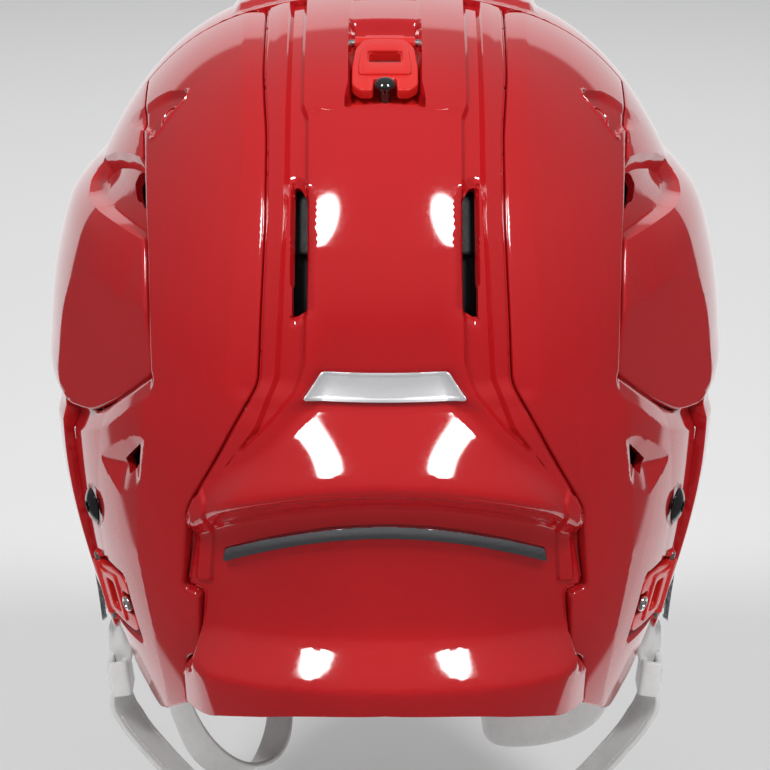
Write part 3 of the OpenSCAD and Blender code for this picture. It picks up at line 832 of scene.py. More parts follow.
def rear_shape(p, d):
    u, z = np.abs(p[:, 0]), p[:, 2]
    seam, outer = seam_gap(p), rear_gap(p)
    crease = bevel_field(p)
    share = np.clip(-crease / np.maximum(seam - crease, 1e-6), 0, 1)
    off = -1.3 * share * ease(z, 13, 18)
    off += eye_hollow(p)
    turn_out = np.abs(arm_crease(p))
    off += 2.0 * (1 - linear(turn_out, 0, 15)) * ease(-z, -14, 4)
    off -= 2.6 * (1 - linear(ridge_field(p), 0, 4.5)) * ease(u, 72, 74) * (z > -30) * (1 - ease(z, 13, 17))
    off -= 3.4 * linear(-lower_scoop(p), 0, 7)
    off -= 0.9 * (1 - linear(screw_dish(p), -1.2, 0))
    pocket = to_plane(p, d, SIDE_CLIP, -5.5)
    inside = linear(-side_pocket(p), 0, 1.6)
    off = off * (1 - inside) + np.minimum(pocket, 0) * inside
    fine = 1 - 0.8 * ease(z, 74, 82)
    return off + np.minimum(lip(seam, 1.1), lip(outer, 1.1) * fine)


def plateau_field(p):
    """Distance inwards from the side of the nape panel's raised middle."""
    return -line_gap(np.abs(p[:, 0]), p[:, 2], PLATEAU)


def rail_field(p):
    """Distance outwards from the inner side of the rail along the seam."""
    return line_gap(np.abs(p[:, 0]), p[:, 2], RAIL)


def lower_rail(p):
    outline = [(56.2, -16), (60.4, -22), (60.8, -51.5), (55.6, -51.5), (54.4, -20)]
    return area_gap(np.abs(p[:, 0]), p[:, 2], outline)


def over_arch(p):
    """Height measured from a line that bows down towards the sides, as the shoulder does."""
    share = ease(p[:, 2], -75, -30) * ease(-p[:, 2], -14, 8)
    return p[:, 2] + SHOULDER_ARCH * p[:, 0] ** 2 * share


def centre_rise(p):
    """Offset of the nape panel: swelling below the badge, tuck under it, flare at the rim."""
    u, z = np.abs(p[:, 0]), p[:, 2]
    rise = curve_through(over_arch(p), NAPE_PROFILE)
    sides = 1 - ease(u, 50, 70) * ease(-z, 30, 60)
    sides = sides - 0.5 * ease(u, 40, 64) * ease(-z, -30, 0) * ease(z, -40, -20)
    spread = ease(plateau_field(p), -0.5, 8)
    spread = np.where(z < -24, np.maximum(spread, ease(-z, 24, 34)), spread)
    flatter = 0.0016 * np.minimum(u, 34) ** 2 * ease(z, -14, 8) * (1 - ease(z, 14, 22))
    flatter += 0.0010 * np.minimum(u, 36) ** 2 * ease(-z, 50, 66)
    return rise * sides * (0.35 + 0.65 * spread) + flatter


def channel_field(p):
    """Distance outside the channel of the rear clip, seen from above."""
    outline = [(-11.6, 5), (-11.6, 78), (-12.6, 84), (-12.6, 88.5), (12.6, 88.5), (12.6, 84), (11.6, 78),
               (11.6, 5)]
    return area_gap(p[:, 0], p[:, 1], outline)


def ledge_field(p):
    """Distance behind the slightly arched ledge that ends the crown."""
    return p[:, 1] - (88.6 - 0.004 * p[:, 0] ** 2)


def vent_field(p):
    gap = area_gap(np.abs(p[:, 0]), p[:, 2], LONG_VENT)
    return np.where(p[:, 1] > 0, gap, 99.0)


def nape_shape(p, d):
    u, y, z = np.abs(p[:, 0]), p[:, 1], p[:, 2]
    zone = nape_gap(p)
    off = np.where(y > 30, centre_rise(p), 0.0)
    # Valley between the raised middle and the rail along the seam
    valley = np.minimum(-plateau_field(p), -rail_field(p))
    off -= 1.9 * linear(valley, 0, 1.3) * ease(z, -34, -10)
    off -= 0.5 * (1 - ease(seam_gap(p), -1.5, -6)) * ease(z, 20, 60)
    # Short rail beside the seam, below the shoulder
    off += 1.1 * linear(-lower_rail(p), 0, 0.9) * (y > 30)
    # The crown stands above what follows its ledge
    off -= 0.4 * linear(ledge_field(p), 0, 1.0) * linear(plateau_field(p), 0, 1) * ease(z, 60, 92)
    # Channel of the rear clip, with a tongue at its front end
    floor = np.minimum(to_plane(p, d, TOP_CLIP, -5.5), 0)
    tongue = -0.8 - 4.6 * ease(y, 35, 40)
    floor = np.where(y > 42, floor, np.maximum(floor, tongue))
    inside = linear(-channel_field(p), 0, 1.8)
    off = off * (1 - inside) + floor * inside
    # Sunk bevel beside each long vent
    off -= 1.6 * (1 - linear(vent_field(p), 0, 2.6)) * (u < 29)
    # Shallow seat of the badge
    badge = area_gap(p[:, 0], z, [(-20.6, 25.2), (20.6, 25.2), (26.4, 14.9), (-26.4, 14.9)])
    off -= np.where(y > 0, 0.8 * linear(-badge, 0, 0.7), 0)
    # Everything within reach of the seam drops to the flange that runs under the rear shell
    top = np.where(zone > GAP, lip(np.maximum(zone - GAP, 0), 1.1), 0)
    down = linear(-(zone - GAP), 0, 0.35)
    return off * (1 - down) + top - FLANGE_DROP * down


def bulge(p):
    """Swelling above the ear with a facet that looks backwards."""
    y, z = p[:, 1], p[:, 2]
    profile = [(-14, 0), (-8.5, 2.2), (-4, 4.4), (10, 4.8), (38, 5.4), (50, 5.0), (57, 2.8), (64, 0)]
    up = curve_through(z, profile)
    back = 1 - linear(y, 46, 78)
    return up * back * (1 - ease(-y, 34, 62)) * (np.abs(p[:, 0]) > 60)


FACET = unit(np.array([0.85, 0.527, 0.02]))
FACET_LEVEL = 112.4


def facet_excess(p):
    """How far the swelling above the ear stands outside the flat facet that looks backwards."""
    d = unit(p)
    d[:, 0] = np.abs(d[:, 0])
    across = np.maximum(d @ FACET, 0.2)
    excess = bulge(p) + np.linalg.norm(p, axis=1) - FACET_LEVEL / across
    return np.where((p[:, 1] > 5) & (p[:, 2] > -12) & (p[:, 2] < 62), excess, -5.0)


def arm_zone(p):
    """1 on the front shell's arm beside the ear, which lies over the rear shell's arm."""
    return ease(p[:, 1], 12, 24) * ease(-p[:, 2], 9, 16)


def front_shape(p, d):
    u, z = np.abs(p[:, 0]), p[:, 2]
    zone = rear_gap(p)
    off = bulge(p) - np.maximum(facet_excess(p), 0) + eye_hollow(p)
    off += (3.4 - 2.0 * ease(-z, 24, 80)) * arm_zone(p)
    scoop = upper_scoop(p)
    off -= 4.2 * linear(-scoop, 0, 3.4) * (u > 60)
    off += 1.8 * crown_ridge(p)
    for place, (half_wide, half_high) in FRONT_VENTS:
        off -= 1.5 * (1 - linear(front_vent_field(p, place, half_wide, half_high), 0, 3.2))
    out = -zone
    fine = 1 - 0.8 * ease(z, 74, 82)
    top = np.where(out > GAP, lip(np.maximum(out - GAP, 0), 1.1) * fine, 0)
    down = linear(GAP - out, 0, 0.35)
    edge = lip(np.maximum(front_gap(p), 0), 1.2)
    return off * (1 - down) + top + edge - FLANGE_DROP * down


FRONT_VENTS = (
    (spot(163, 42), (9, 3)), (spot(163, 62), (9, 3)), (spot(128, 45), (11, 3.5)),
)


def front_vent_field(p, place, half_wide, half_high):
    """Distance outside a rounded slot drawn in a spot's own directions."""
    s, u, n = local(p, place)
    r = 1.6
    a = np.maximum(np.abs(s) - half_wide + r, 0)
    b = np.maximum(np.abs(u) - half_high + r, 0)
    inner = np.minimum(np.maximum(np.abs(s) - half_wide + r, np.abs(u) - half_high + r), 0)
    return np.where(np.abs(n) < 30, np.hypot(a, b) + inner - r, 99.0)


def crown_angle(p):
    """Degrees above the horizon seen from the side, for points ahead of the crown."""
    return np.degrees(np.arctan2(p[:, 2], -p[:, 1]))


def crown_ridge(p):
    """Two long raised panels over the crown and the forehead, with slanted ends."""
    u, y = np.abs(p[:, 0]), p[:, 1]
    height = crown_angle(p)
    outer = linear(52 - 0.10 * np.abs(height - 60) - u, 0, 2.6)
    low = linear(height - 20 - 0.2 * u, 0, 3)
    return outer * low * linear(-y - 0.5, 0, 3) * (0.35 + 0.65 * linear(u - 27, 0, 2.2))


def build_rear_shell():
    skin = Skin(lambda p: np.minimum(rear_gap(p), seam_gap(p)), 7)
    skin.lips(seam_gap, 0.0, 1.1)
    skin.lips(rear_gap, 0.0, 1.1)
    skin.cut(bevel_field)
    skin.cut(ridge_field, 4.5)
    skin.cut(lambda p: np.where(p[:, 2] < 10, arm_crease(p), 9.0))
    skin.lips(lower_hole, 0.0, 0.6)
    skin.cut(lower_scoop)
    for at in (0, 0.5, 1):
        skin.cut(eye_field, at)
    skin.cut(side_pocket)
    skin.cut(side_pocket, -1.6)
    skin.cut(screw_dish)
    skin.cut(screw_dish, -1.2)
    shell = thick_object("rear_shell_skin", skin, rear_shape, SHELL_WALL, RED)
    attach(shell, "rear")
    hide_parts("rear_shell")


def nape_bottom(p):
    """Distance above the nape panel's lower rim."""
    return p[:, 2] - curve_through(np.abs(p[:, 0]), [(0, -81.2), (30, -83), (48, -87), (62, -92.5)])


def build_nape_shell():
    skin = Skin(nape_gap, 7)
    skin.clip(nape_gap, -4.4)
    skin.clip(lambda p: p[:, 1] - 6.5)
    skin.clip(nape_bottom)
    for at in (GAP - 0.35, GAP, GAP + 0.28, GAP + 0.66, GAP + 1.1):
        skin.cut(nape_gap, at)
    skin.cut(lower_rail)
    skin.cut(lower_rail, -0.9)
    skin.clip(vent_field)
    skin.cut(vent_field, 0.7)
    skin.cut(vent_field, 2.6)
    for at in (0, -0.9, -1.8):
        skin.cut(channel_field, at)
    skin.cut(ledge_field)
    skin.cut(ledge_field, 1.0)
    for at in (0, -1.3):
        skin.cut(rail_field, at)
        skin.cut(plateau_field, at)
    for height in NAPE_LINES:
        skin.cut(over_arch, height)
    shell = thick_object("nape_shell_skin", skin, nape_shape, SHELL_WALL - 0.5, RED)
    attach(shell, "nape")
    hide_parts("nape_shell")


def front_zone(p):
    """Front shell with its flange under the rear shell, which stays clear of the nape panel."""
    flange = np.minimum(24 - rear_gap(p), p[:, 2] - 8)
    flange = np.minimum(flange, seam_gap(p) - 17)
    tongue = np.minimum(26 - np.abs(p[:, 0]), 34 - p[:, 1])
    back = np.maximum(flange, tongue)
    out = -rear_gap(p) - GAP + 0.35
    out = np.where((np.abs(p[:, 0]) < 78) & (p[:, 1] > 5), np.minimum(out, -1), out)
    return np.minimum(np.maximum(out, back), front_gap(p))


def build_front_shell():
    skin = Skin(front_zone, 6)
    skin.clip(front_zone)
    for at in (-GAP + 0.35, -GAP, -GAP - 0.28, -GAP - 0.66, -GAP - 1.1):
        skin.cut(rear_gap, at)
    for at in (0.3, 0.7, 1.2):
        skin.cut(front_gap, at)
    skin.lips(upper_hole, 0.0, 0.8)
    skin.cut(upper_scoop)
    skin.cut(upper_scoop, -3.4)
    skin.cut(eye_field)
    skin.cut(facet_excess)
    skin.clip(round_field(CAGE_NUT, 4.2))
    for place, (half_wide, half_high) in FRONT_VENTS:
        def slot(p):
            return front_vent_field(p, place, half_wide, half_high)

        skin.clip(slot)
        skin.cut(slot, 0.8)
        skin.cut(slot, 3.2)
        skin.known.clear()
    for at in (52, 49.4):
        def crown_edge(p):
            inwards = at - 0.10 * np.abs(crown_angle(p) - 60) - np.abs(p[:, 0])
            return np.where(p[:, 1] < 0, inwards, 9.0)

        skin.cut(crown_edge)
    for at in (27, 29.2):
        skin.cut(lambda p: np.where(p[:, 1] < 0, np.abs(p[:, 0]) - at, 9.0))
    shell = thick_object("front_shell_skin", skin, front_shape, SHELL_WALL, RED)
    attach(shell, "front")
    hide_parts("front_shell")


build_rear_shell()
build_nape_shell()
build_front_shell()


# ---------------------------------------------------------------- building blocks for the small pieces


def place(piece, body, slot, *nodes):
    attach(piece, body)
    if nodes:
        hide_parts(*nodes)
    return piece


def mirrored(piece, name):
    """The same piece on the wearer's right."""
    mesh = piece.data.copy()
    mesh.name = name
    mesh.transform(Matrix.Scale(-1, 4, (1, 0, 0)))
    mesh.flip_normals()
    other = bpy.data.objects.new(name, mesh)
    bpy.context.scene.collection.objects.link(other)
    return other


def moved(piece, matrix):
    """Carries a piece drawn in millimetres round the origin to its place."""
    shift = matrix.copy()
    shift.translation = shift.translation * MM
    piece.data.transform(shift)
    return piece


def at_spot(where, lift=0.0):
    """Matrix that puts a piece's Z along the outward normal of a spot on the dome."""
    centre, normal, side, _ = where
    axes = Matrix((side, np.cross(normal, side), normal)).transposed().to_4x4()
    return Matrix.Translation(Vector(centre + normal * lift)) @ axes


def outline_turn(points, clockwise):
    p = np.array(points, float)
    area = np.sum(p[:, 0] * np.roll(p[:, 1], -1) - np.roll(p[:, 0], -1) * p[:, 1])
    return p[::-1] if (area < 0) != clockwise else p


def plate(name, outline, low, high, bevel, material, holes=()):
    """Flat piece between two heights, drawn from an outline with holes; all its edges are rounded."""
    curve = bpy.data.curves.new(name, "CURVE")
    curve.dimensions = "2D"
    curve.fill_mode = "BOTH"
    loops = [outline_turn(outline, False)] + [outline_turn(hole, True) for hole in holes]
    for loop in loops:
        spline = curve.splines.new("POLY")
        spline.points.add(len(loop) - 1)
        for point, (x, y) in zip(spline.points, loop):
            point.co = (x * MM, y * MM, 0, 1)
        spline.use_cyclic_u = True
    curve.extrude = ((high - low) / 2 - bevel) * MM
    curve.bevel_depth = bevel * MM
    curve.bevel_resolution = 3
    curve.offset = -bevel * MM
    holder = bpy.data.objects.new(name, curve)
    mesh = bpy.data.meshes.new_from_object(holder)
    bpy.data.objects.remove(holder)
    bpy.data.curves.remove(curve)
    mesh.name = name
    work = bmesh.new()
    work.from_mesh(mesh)
    bmesh.ops.remove_doubles(work, verts=work.verts, dist=2e-6)
    work.to_mesh(mesh)
    work.free()
    mesh.transform(Matrix.Translation((0, 0, (low + high) / 2 * MM)))
    mesh.shade_smooth()
    mesh.set_sharp_from_angle(angle=math.radians(38))
    mesh.materials.clear()
    mesh.materials.append(material)
    piece = bpy.data.objects.new(name, mesh)
    bpy.context.scene.collection.objects.link(piece)
    return piece


def lathe(name, profile, material, turns=40, sharp=38):
    """Turned piece from radius and height pairs, from the axis at the top round to the axis below."""
    line = np.array(profile, float)
    angle = np.arange(turns) * 2 * math.pi / turns
    ring = line[:, None, :]
    x = ring[..., 0] * np.cos(angle)
    y = ring[..., 0] * np.sin(angle)
    z = np.broadcast_to(ring[..., 1], x.shape)
    verts = np.stack([x, y, z], -1).reshape(-1, 3)
    faces = []
    for k in range(len(line) - 1):
        for j in range(turns):
            i = (j + 1) % turns
            faces.append((k * turns + j, (k + 1) * turns + j, (k + 1) * turns + i, k * turns + i))
    piece = new_object(name, verts, faces, material, sharp=None)
    work = bmesh.new()
    work.from_mesh(piece.data)
    bmesh.ops.remove_doubles(work, verts=work.verts, dist=1e-6)
    bmesh.ops.dissolve_degenerate(work, edges=work.edges, dist=1e-7)
    bmesh.ops.recalc_face_normals(work, faces=work.faces)
    work.to_mesh(piece.data)
    work.free()
    piece.data.shade_smooth()
    piece.data.set_sharp_from_angle(angle=math.radians(sharp))
    return piece


def spline_through(points, steps):
    """Smooth line through given points, the same number of steps between each two."""
    p = np.array(points, float)
    p = np.vstack([2 * p[0] - p[1], p, 2 * p[-1] - p[-2]])
    t = np.arange(steps)[:, None] / steps
    out = []
    for a, b, c, d in zip(p[:-3], p[1:-2], p[2:-1], p[3:]):
        square = (2 * a - 5 * b + 4 * c - d) * t**2
        cube = (3 * b - a - 3 * c + d) * t**3
        out.append(0.5 * (2 * b + (c - a) * t + square + cube))
    out.append(p[-2][None])
    return np.vstack(out)


def sweep(name, path, across, section, material, scale=None, sharp=50):
    """Closed section, as (across, out) pairs, carried along a path; across gives the section's first axis."""
    along = unit(np.gradient(path, axis=0))
    out = unit(np.cross(along, across))
    wide = unit(np.cross(out, along))
    n, m = len(path), len(section)
    size = np.ones((n, 2)) if scale is None else scale
    s = np.array(section, float)
    rings = (
        path[:, None]
        + wide[:, None] * (s[:, 0] * size[:, :1])[..., None]
        + out[:, None] * (s[:, 1] * size[:, 1:])[..., None]
    )
    verts = np.vstack([rings.reshape(-1, 3), path[:1], path[-1:]])
    faces = []
    for k in range(n - 1):
        for j in range(m):
            i = (j + 1) % m
            faces.append((k * m + j, k * m + i, (k + 1) * m + i, (k + 1) * m + j))
    mesh = bpy.data.meshes.new(name)
    caps = [(n * m, (j + 1) % m, j) for j in range(m)]
    caps += [(n * m + 1, (n - 1) * m + j, (n - 1) * m + (j + 1) % m) for j in range(m)]
    mesh.from_pydata((verts * MM).tolist(), [], faces + caps)
    work = bmesh.new()
    work.from_mesh(mesh)
    bmesh.ops.recalc_face_normals(work, faces=work.faces)
    work.to_mesh(mesh)
    work.free()
    mesh.shade_smooth()
    mesh.set_sharp_from_angle(angle=math.radians(sharp))
    mesh.materials.append(material)
    piece = bpy.data.objects.new(name, mesh)
    bpy.context.scene.collection.objects.link(piece)
    return piece


def strap_section(width, thickness, steps=3):
    w, t = width / 2, thickness / 2
    return corner_round([(-w, -t), (w, -t), (w, t), (-w, t)], thickness * 0.42, steps)


# ---------------------------------------------------------------- clips, trim and fasteners


def turned_piece(name, profile, radius, material):
    """Turned piece whose profile has rounded corners."""
    return lathe(name, corner_round(profile, radius, closed=False), material)


def lever_outline(reach, base_half):
    """Narrow over the pin, widest three quarters along, with a chamfered end and an open slot for the peg."""
    half = [(-2.4, base_half), (1.0, base_half + 0.2), (6.5, 9.4), (reach * 0.55, 10.4), (reach - 3.4, 10.4),
            (reach, 7.8), (reach, 3.7), (reach - 7.4, 3.5)]
    return corner_round(half + [(x, -y) for x, y in reversed(half)], 1.7)


def window_outline(reach, half_wide):
    low, high = reach * 0.27, reach * 0.36 + 4.6
    return corner_round([(low, -half_wide), (high, -half_wide), (high, half_wide), (low, half_wide)], 1.5)


def clip_lever(name, reach, base_half, sunk=0.0):
    """Lever body with a raised bezel round its window, and the barrel that turns on the pin."""
    body = plate(name, lever_outline(reach, base_half), -1.6 - sunk, 1.9 - sunk, 0.6, CLIP_RED,
                 (window_outline(reach, 4.8),))
    half = [(1.6, base_half - 1.4), (7.0, 7.4), (reach * 0.55, 8.3), (reach - 9.2, 8.3)]
    bezel = plate(name + "_bezel", corner_round(half + [(x, -y) for x, y in reversed(half)], 1.6), 1.0 - sunk,
                  2.6 - sunk, 0.45, CLIP_RED, (window_outline(reach, 5.4),))
    barrel = lathe(name + "_barrel", corner_round(
        [(1.3, 9.6), (2.1, 9.6), (2.1, -9.6), (1.3, -9.6), (1.3, 9.6)], 0.3, closed=False), CLIP_RED)
    barrel.data.transform(turn("X", 90))
    return body, bezel, barrel


def clip_seat(name, reach):
    """Base plate with two low rounded ears and the pin between them."""
    floor = plate(name + "_base_plate", corner_round(
        [(-4, -12.3), (reach + 3, -12.3), (reach + 3, 12.3), (-4, 12.3)], 2.5), -5.5, -4.2, 0.4, CLIP_RED)
    parts = [floor]
    for side, tag in ((1, "a"), (-1, "b")):
        ear = plate(name + "_ear_" + tag, corner_round([(-3, -5.4), (3, -5.4), (2.4, 0.4), (-2.4, 0.4)], 1.8),
                    -0.8, 0.8, 0.3, CLIP_RED)
        ear.data.transform(Matrix.Translation((0, side * 11.4 * MM, 0)) @ turn("X", 90))
        parts.append(ear)
    pin = lathe(name + "_pin_turned", corner_round([(0, 12.0), (1.2, 12.0), (1.2, -12.0), (0, -12.0)], 0.3,
                                                   closed=False), STEEL)
    pin.data.transform(turn("X", 90))
    return parts, pin


def build_clips():
    left = [moved(part, SIDE_CLIP) for part in clip_lever("left_clip_lever_skin", SIDE_REACH, 9.0, 1.1)]
    for part in left:
        twin = mirrored(part, part.name.replace("left", "right"))
        place(part, "left_clip", "clip", "left_clip_lever")
        place(twin, "right_clip", "clip", "right_clip_lever")
    for part in clip_lever("rear_clip_lever_skin", TOP_REACH, 6.4):
        place(moved(part, TOP_CLIP), "rear_clip", "clip", "rear_clip_lever")
    parts, pin = clip_seat("left_clip", SIDE_REACH)
    for part, slot, node in [(p, "clip", "base") for p in parts] + [(pin, "steel", "pin")]:
        moved(part, SIDE_CLIP)
        twin = mirrored(part, part.name.replace("left", "right"))
        place(part, "rear", slot, "left_clip_" + node)
        place(twin, "rear", slot, "right_clip_" + node)
    parts, pin = clip_seat("rear_clip", TOP_REACH)
    for part in parts:
        place(moved(part, TOP_CLIP), "nape", "clip", "rear_clip_base")
    place(moved(pin, TOP_CLIP), "nape", "steel", "rear_clip_pin")
    post_profile = [(0, 3.6), (2.2, 3.3), (3.3, 2.2), (3.4, 1.2), (1.9, 1.0), (1.8, -4.3), (0, -4.3)]
    post = turned_piece("rear_clip_post_turned", post_profile, 0.6, BLACK)
    moved(post, TOP_CLIP @ Matrix.Translation((TOP_REACH - PEG_INSET, 0, 0)))
    place(post, "nape", "black", "rear_clip_post")
    rivet_profile = [(0, 0.9), (1.1, 0.9), (1.3, 1.9), (2.2, 2.0), (2.7, 1.3), (2.7, 0.2), (1.8, 0.1),
                     (1.8, -4.3), (0, -4.3)]
    rivet = turned_piece("left_clip_rivet_turned", rivet_profile, 0.4, POLISHED)
    moved(rivet, SIDE_CLIP @ Matrix.Translation((SIDE_REACH - PEG_INSET, 0, 0)))
    twin = mirrored(rivet, "right_clip_rivet_turned")
    place(rivet, "rear", "steel", "left_clip_rivet")
    place(twin, "rear", "steel", "right_clip_rivet")


# Y and Z of the axis about which the chin strap swings
STRAP_AXIS = (22, -84)


def both(piece, body, slot, *stems):
    """Places a left piece and its twin; each stem is a CAD node's name without its side."""
    twin = mirrored(piece, piece.name.replace("left", "right"))
    place(piece, body, slot, *(stem + "_left" for stem in stems))
    place(twin, body, slot, *(stem + "_right" for stem in stems))
    return piece, twin


def build_fasteners():
    """Domed side screws with a hexagon socket, round plugs of the eye hollows, strap studs and caps."""
    hexagon = [(2.1 * math.cos(k * math.pi / 3), 2.1 * math.sin(k * math.pi / 3)) for k in range(6)]
    dome = [(r, math.sqrt(9.6**2 - r * r) - 6.6) for r in (2.4, 3.2, 4.0, 4.7, 5.3, 5.7, 5.95)]
    underside = [(5.95, 0.6), (5.8, 0.4), (2.1, 0.4), (2.1, 2.5), (2.4, 2.7)]
    head = lathe("screw_head_left", dome + underside, BLACK)
    circle = [(2.7 * math.cos(a / 24 * math.pi), 2.7 * math.sin(a / 24 * math.pi)) for a in range(48)]
    socket = plate("screw_socket_left", rounded(circle, 1), 1.0, 2.62, 0.15, BLACK, (hexagon,))
    shank_profile = [(0, 1.1), (2.3, 1.1), (2.0, 0.3), (2.0, -8), (0, -8)]
    bottom = turned_piece("screw_shank_left", shank_profile, 0.3, BLACK)
    for part in (head, socket, bottom):
        both(moved(part, at_spot(SIDE_SCREW)), "rear", "black", "side_screw")
    plug_profile = [(0, -0.7), (2.3, -0.8), (3.0, -1.2), (3.0, -3.2), (0, -3.2)]
    plug = turned_piece("side_plug_disc_left", plug_profile, 0.5, RED)
    ring_profile = [(3.05, -1.1), (3.5, -0.6), (4.1, -1.0), (4.4, -2.2), (4.2, -3.2), (3.05, -3.2),
                    (3.05, -1.1)]
    ring = turned_piece("side_plug_ring_left", ring_profile, 0.25, RED)
    for part in (plug, ring):
        both(moved(part, at_spot(EYE)), "rear", "clip", "side_plug")
    stud_profile = [(0, 1.2), (1.5, 1.2), (1.8, 1.7), (4.0, 1.6), (5.0, 0.7), (5.0, 0), (0, 0)]
    stud = turned_piece("strap_stud_turned_left", stud_profile, 0.4, STEEL)
    moved(stud, Matrix.Translation((89.7, *STRAP_AXIS)) @ turn("Y", 90))
    both(stud, "front", "steel", "strap_stud")
    cap_profile = [(0, 2.7), (5.4, 2.7), (6, 2.0), (6, 0.6), (5, 0), (0, 0)]
    cap = turned_piece("strap_cap_turned_left", cap_profile, 0.5, WHITE_PLASTIC)
    moved(cap, Matrix.Translation((84.2, *STRAP_AXIS)) @ turn("Y", 90))
    both(cap, "strap", "white_plastic", "strap_cap")


# ---------------------------------------------------------------- straps

STRAP_PATH = [
    (86.4, 22, -76), (87.6, 22, -92), (88.5, 22, -115), (84.5, 22, -125), (77, 22, -135), (67, 22, -146),
    (55, 22, -156), (41, 22, -165), (35, 22, -169),
]
LOOP_PATH = [
    (86, 32, -76), (80.5, 35, -82), (74, 36, -90), (70, 32, -106), (67, 28, -121), (60, 23, -136),
    (50, 16, -145), (41, 8, -144), (36, 0, -134), (38, -14, -117), (52, -34, -92), (70, -45, -72),
    (80, -44, -65), (88.8, -40, -62),
]
TWISTED_LOOP = [
    (-86, 32, -76), (-80.5, 35, -82), (-74, 36, -90), (-72, 36, -103), (-67, 34, -114), (-58, 30, -121),
    (-47, 26, -125), (-37, 19, -127), (-33, 8, -126), (-35, -6, -120), (-44, -22, -106), (-56, -36, -90),
    (-70, -45, -74), (-80, -44, -66), (-88.8, -40, -62),
]


def strap_across(path):
    """Flat to the shell at the stud, the outer face backwards above the keeper, the inner face below it."""
    turned = ease(-path[:, 2], 84, 94)[:, None]
    lower = ease(-path[:, 2], 96, 124)[:, None]
    upper = np.array([0, 1, 0]) * (1 - turned) + np.array([-0.62, 0.78, 0]) * turned
    return unit(upper * (1 - lower) + np.array([0.62, 0.78, 0.2]) * lower)


def build_straps():
    path = spline_through(STRAP_PATH, 12)
    left = sweep("chin_strap_webbing_left", path, strap_across(path), strap_section(13, 1.9), WEBBING)
    both(left, "strap", "webbing", "chin_strap")
    seam = path[30:84]
    along = unit(np.gradient(seam, axis=0))
    flat = unit(np.cross(along, strap_across(seam)))
    wide = unit(np.cross(flat, along))
    for share, tag in ((-0.36, "a"), (0.36, "b")):
        line = stitches("strap_stitch_" + tag + "_left", seam + wide * 13 * share, strap_across(seam), 0.95)
        both(line, "strap", "webbing")
    section = strap_section(8, 1.8)
    path = spline_through(LOOP_PATH, 8)
    swelling = np.column_stack([1 + 0.3 * ease(-path[:, 2], 118, 140), np.ones(len(path))])
    left = sweep("ear_loop_strap_left", path, np.repeat([(-0.88, 0.14, 0.46)], len(path), 0), section,
                 WHITE_PLASTIC, swelling)
    place(left, "front", "white_plastic", "ear_loop_left")
    path = spline_through(TWISTED_LOOP, 8)
    middle = ease(-path[:, 2], 100, 122)[:, None]
    across = unit(np.array([0.88, 0.14, 0.46]) * (1 - middle) + np.array([0.12, 0.2, 1.0]) * middle)
    swelling = np.column_stack([1 + 1.15 * middle[:, 0], np.ones(len(path))])
    right = sweep("ear_loop_strap_right", path, across, section, WHITE_PLASTIC, swelling)
    place(right, "front", "white_plastic", "ear_loop_right")


def stitches(name, path, across, lift):
    """Row of short raised threads along a strap, on both of its faces."""
    along = unit(np.gradient(path, axis=0))
    out = unit(np.cross(along, across))
    verts, faces = [], []
    ring = [(math.cos(a), math.sin(a)) for a in np.arange(6) * math.pi / 3]
    for side in (1, -1):
        for k in range(2, len(path) - 2, 2):
            base = path[k] + out[k] * side * lift
            wide = np.cross(along[k], out[k])
            start = len(verts)
            for t, r in ((-0.95, 0.04), (-0.7, 0.2), (0, 0.27), (0.7, 0.2), (0.95, 0.04)):
                for c, s in ring:
                    verts.append(base + along[k] * t + wide * r * c + out[k] * r * s)
            for i in range(4):
                row = start + i * 6
                for j in range(6):
                    n = (j + 1) % 6
                    faces.append((row + j, row + n, row + 6 + n, row + 6 + j))
    return new_object(name, verts, faces, THREAD, sharp=None)


def build_keepers():
    """Moulded keeper that grips the webbing, with finger ridges."""
    outline = corner_round([(-3.5, -9), (3.5, -9), (3.5, 9), (-3.5, 9)], 2.2)
    hole = corner_round([(-1.5, -6.9), (1.5, -6.9), (1.5, 6.9), (-1.5, 6.9)], 0.7)
    sleeve = plate("strap_keeper_sleeve_left", outline, -6, 6, 0.7, WHITE_PLASTIC, (hole,))
    seat = Matrix.Translation((88.2, 22, -108)) @ turn("Y", 8)
    both(moved(sleeve, seat), "strap", "white_plastic", "strap_keeper")
    for k in (-1, 0, 1):
        rib = plate("keeper_rib" + "abc"[k + 1] + "_left", corner_round(
            [(3.0, -6.6), (3.95, -6.6), (3.95, 6.6), (3.0, 6.6)], 0.4), -0.7, 0.7, 0.4, WHITE_PLASTIC)
        both(moved(rib, seat @ Matrix.Translation((0, 0, 3.2 * k))), "strap", "white_plastic")


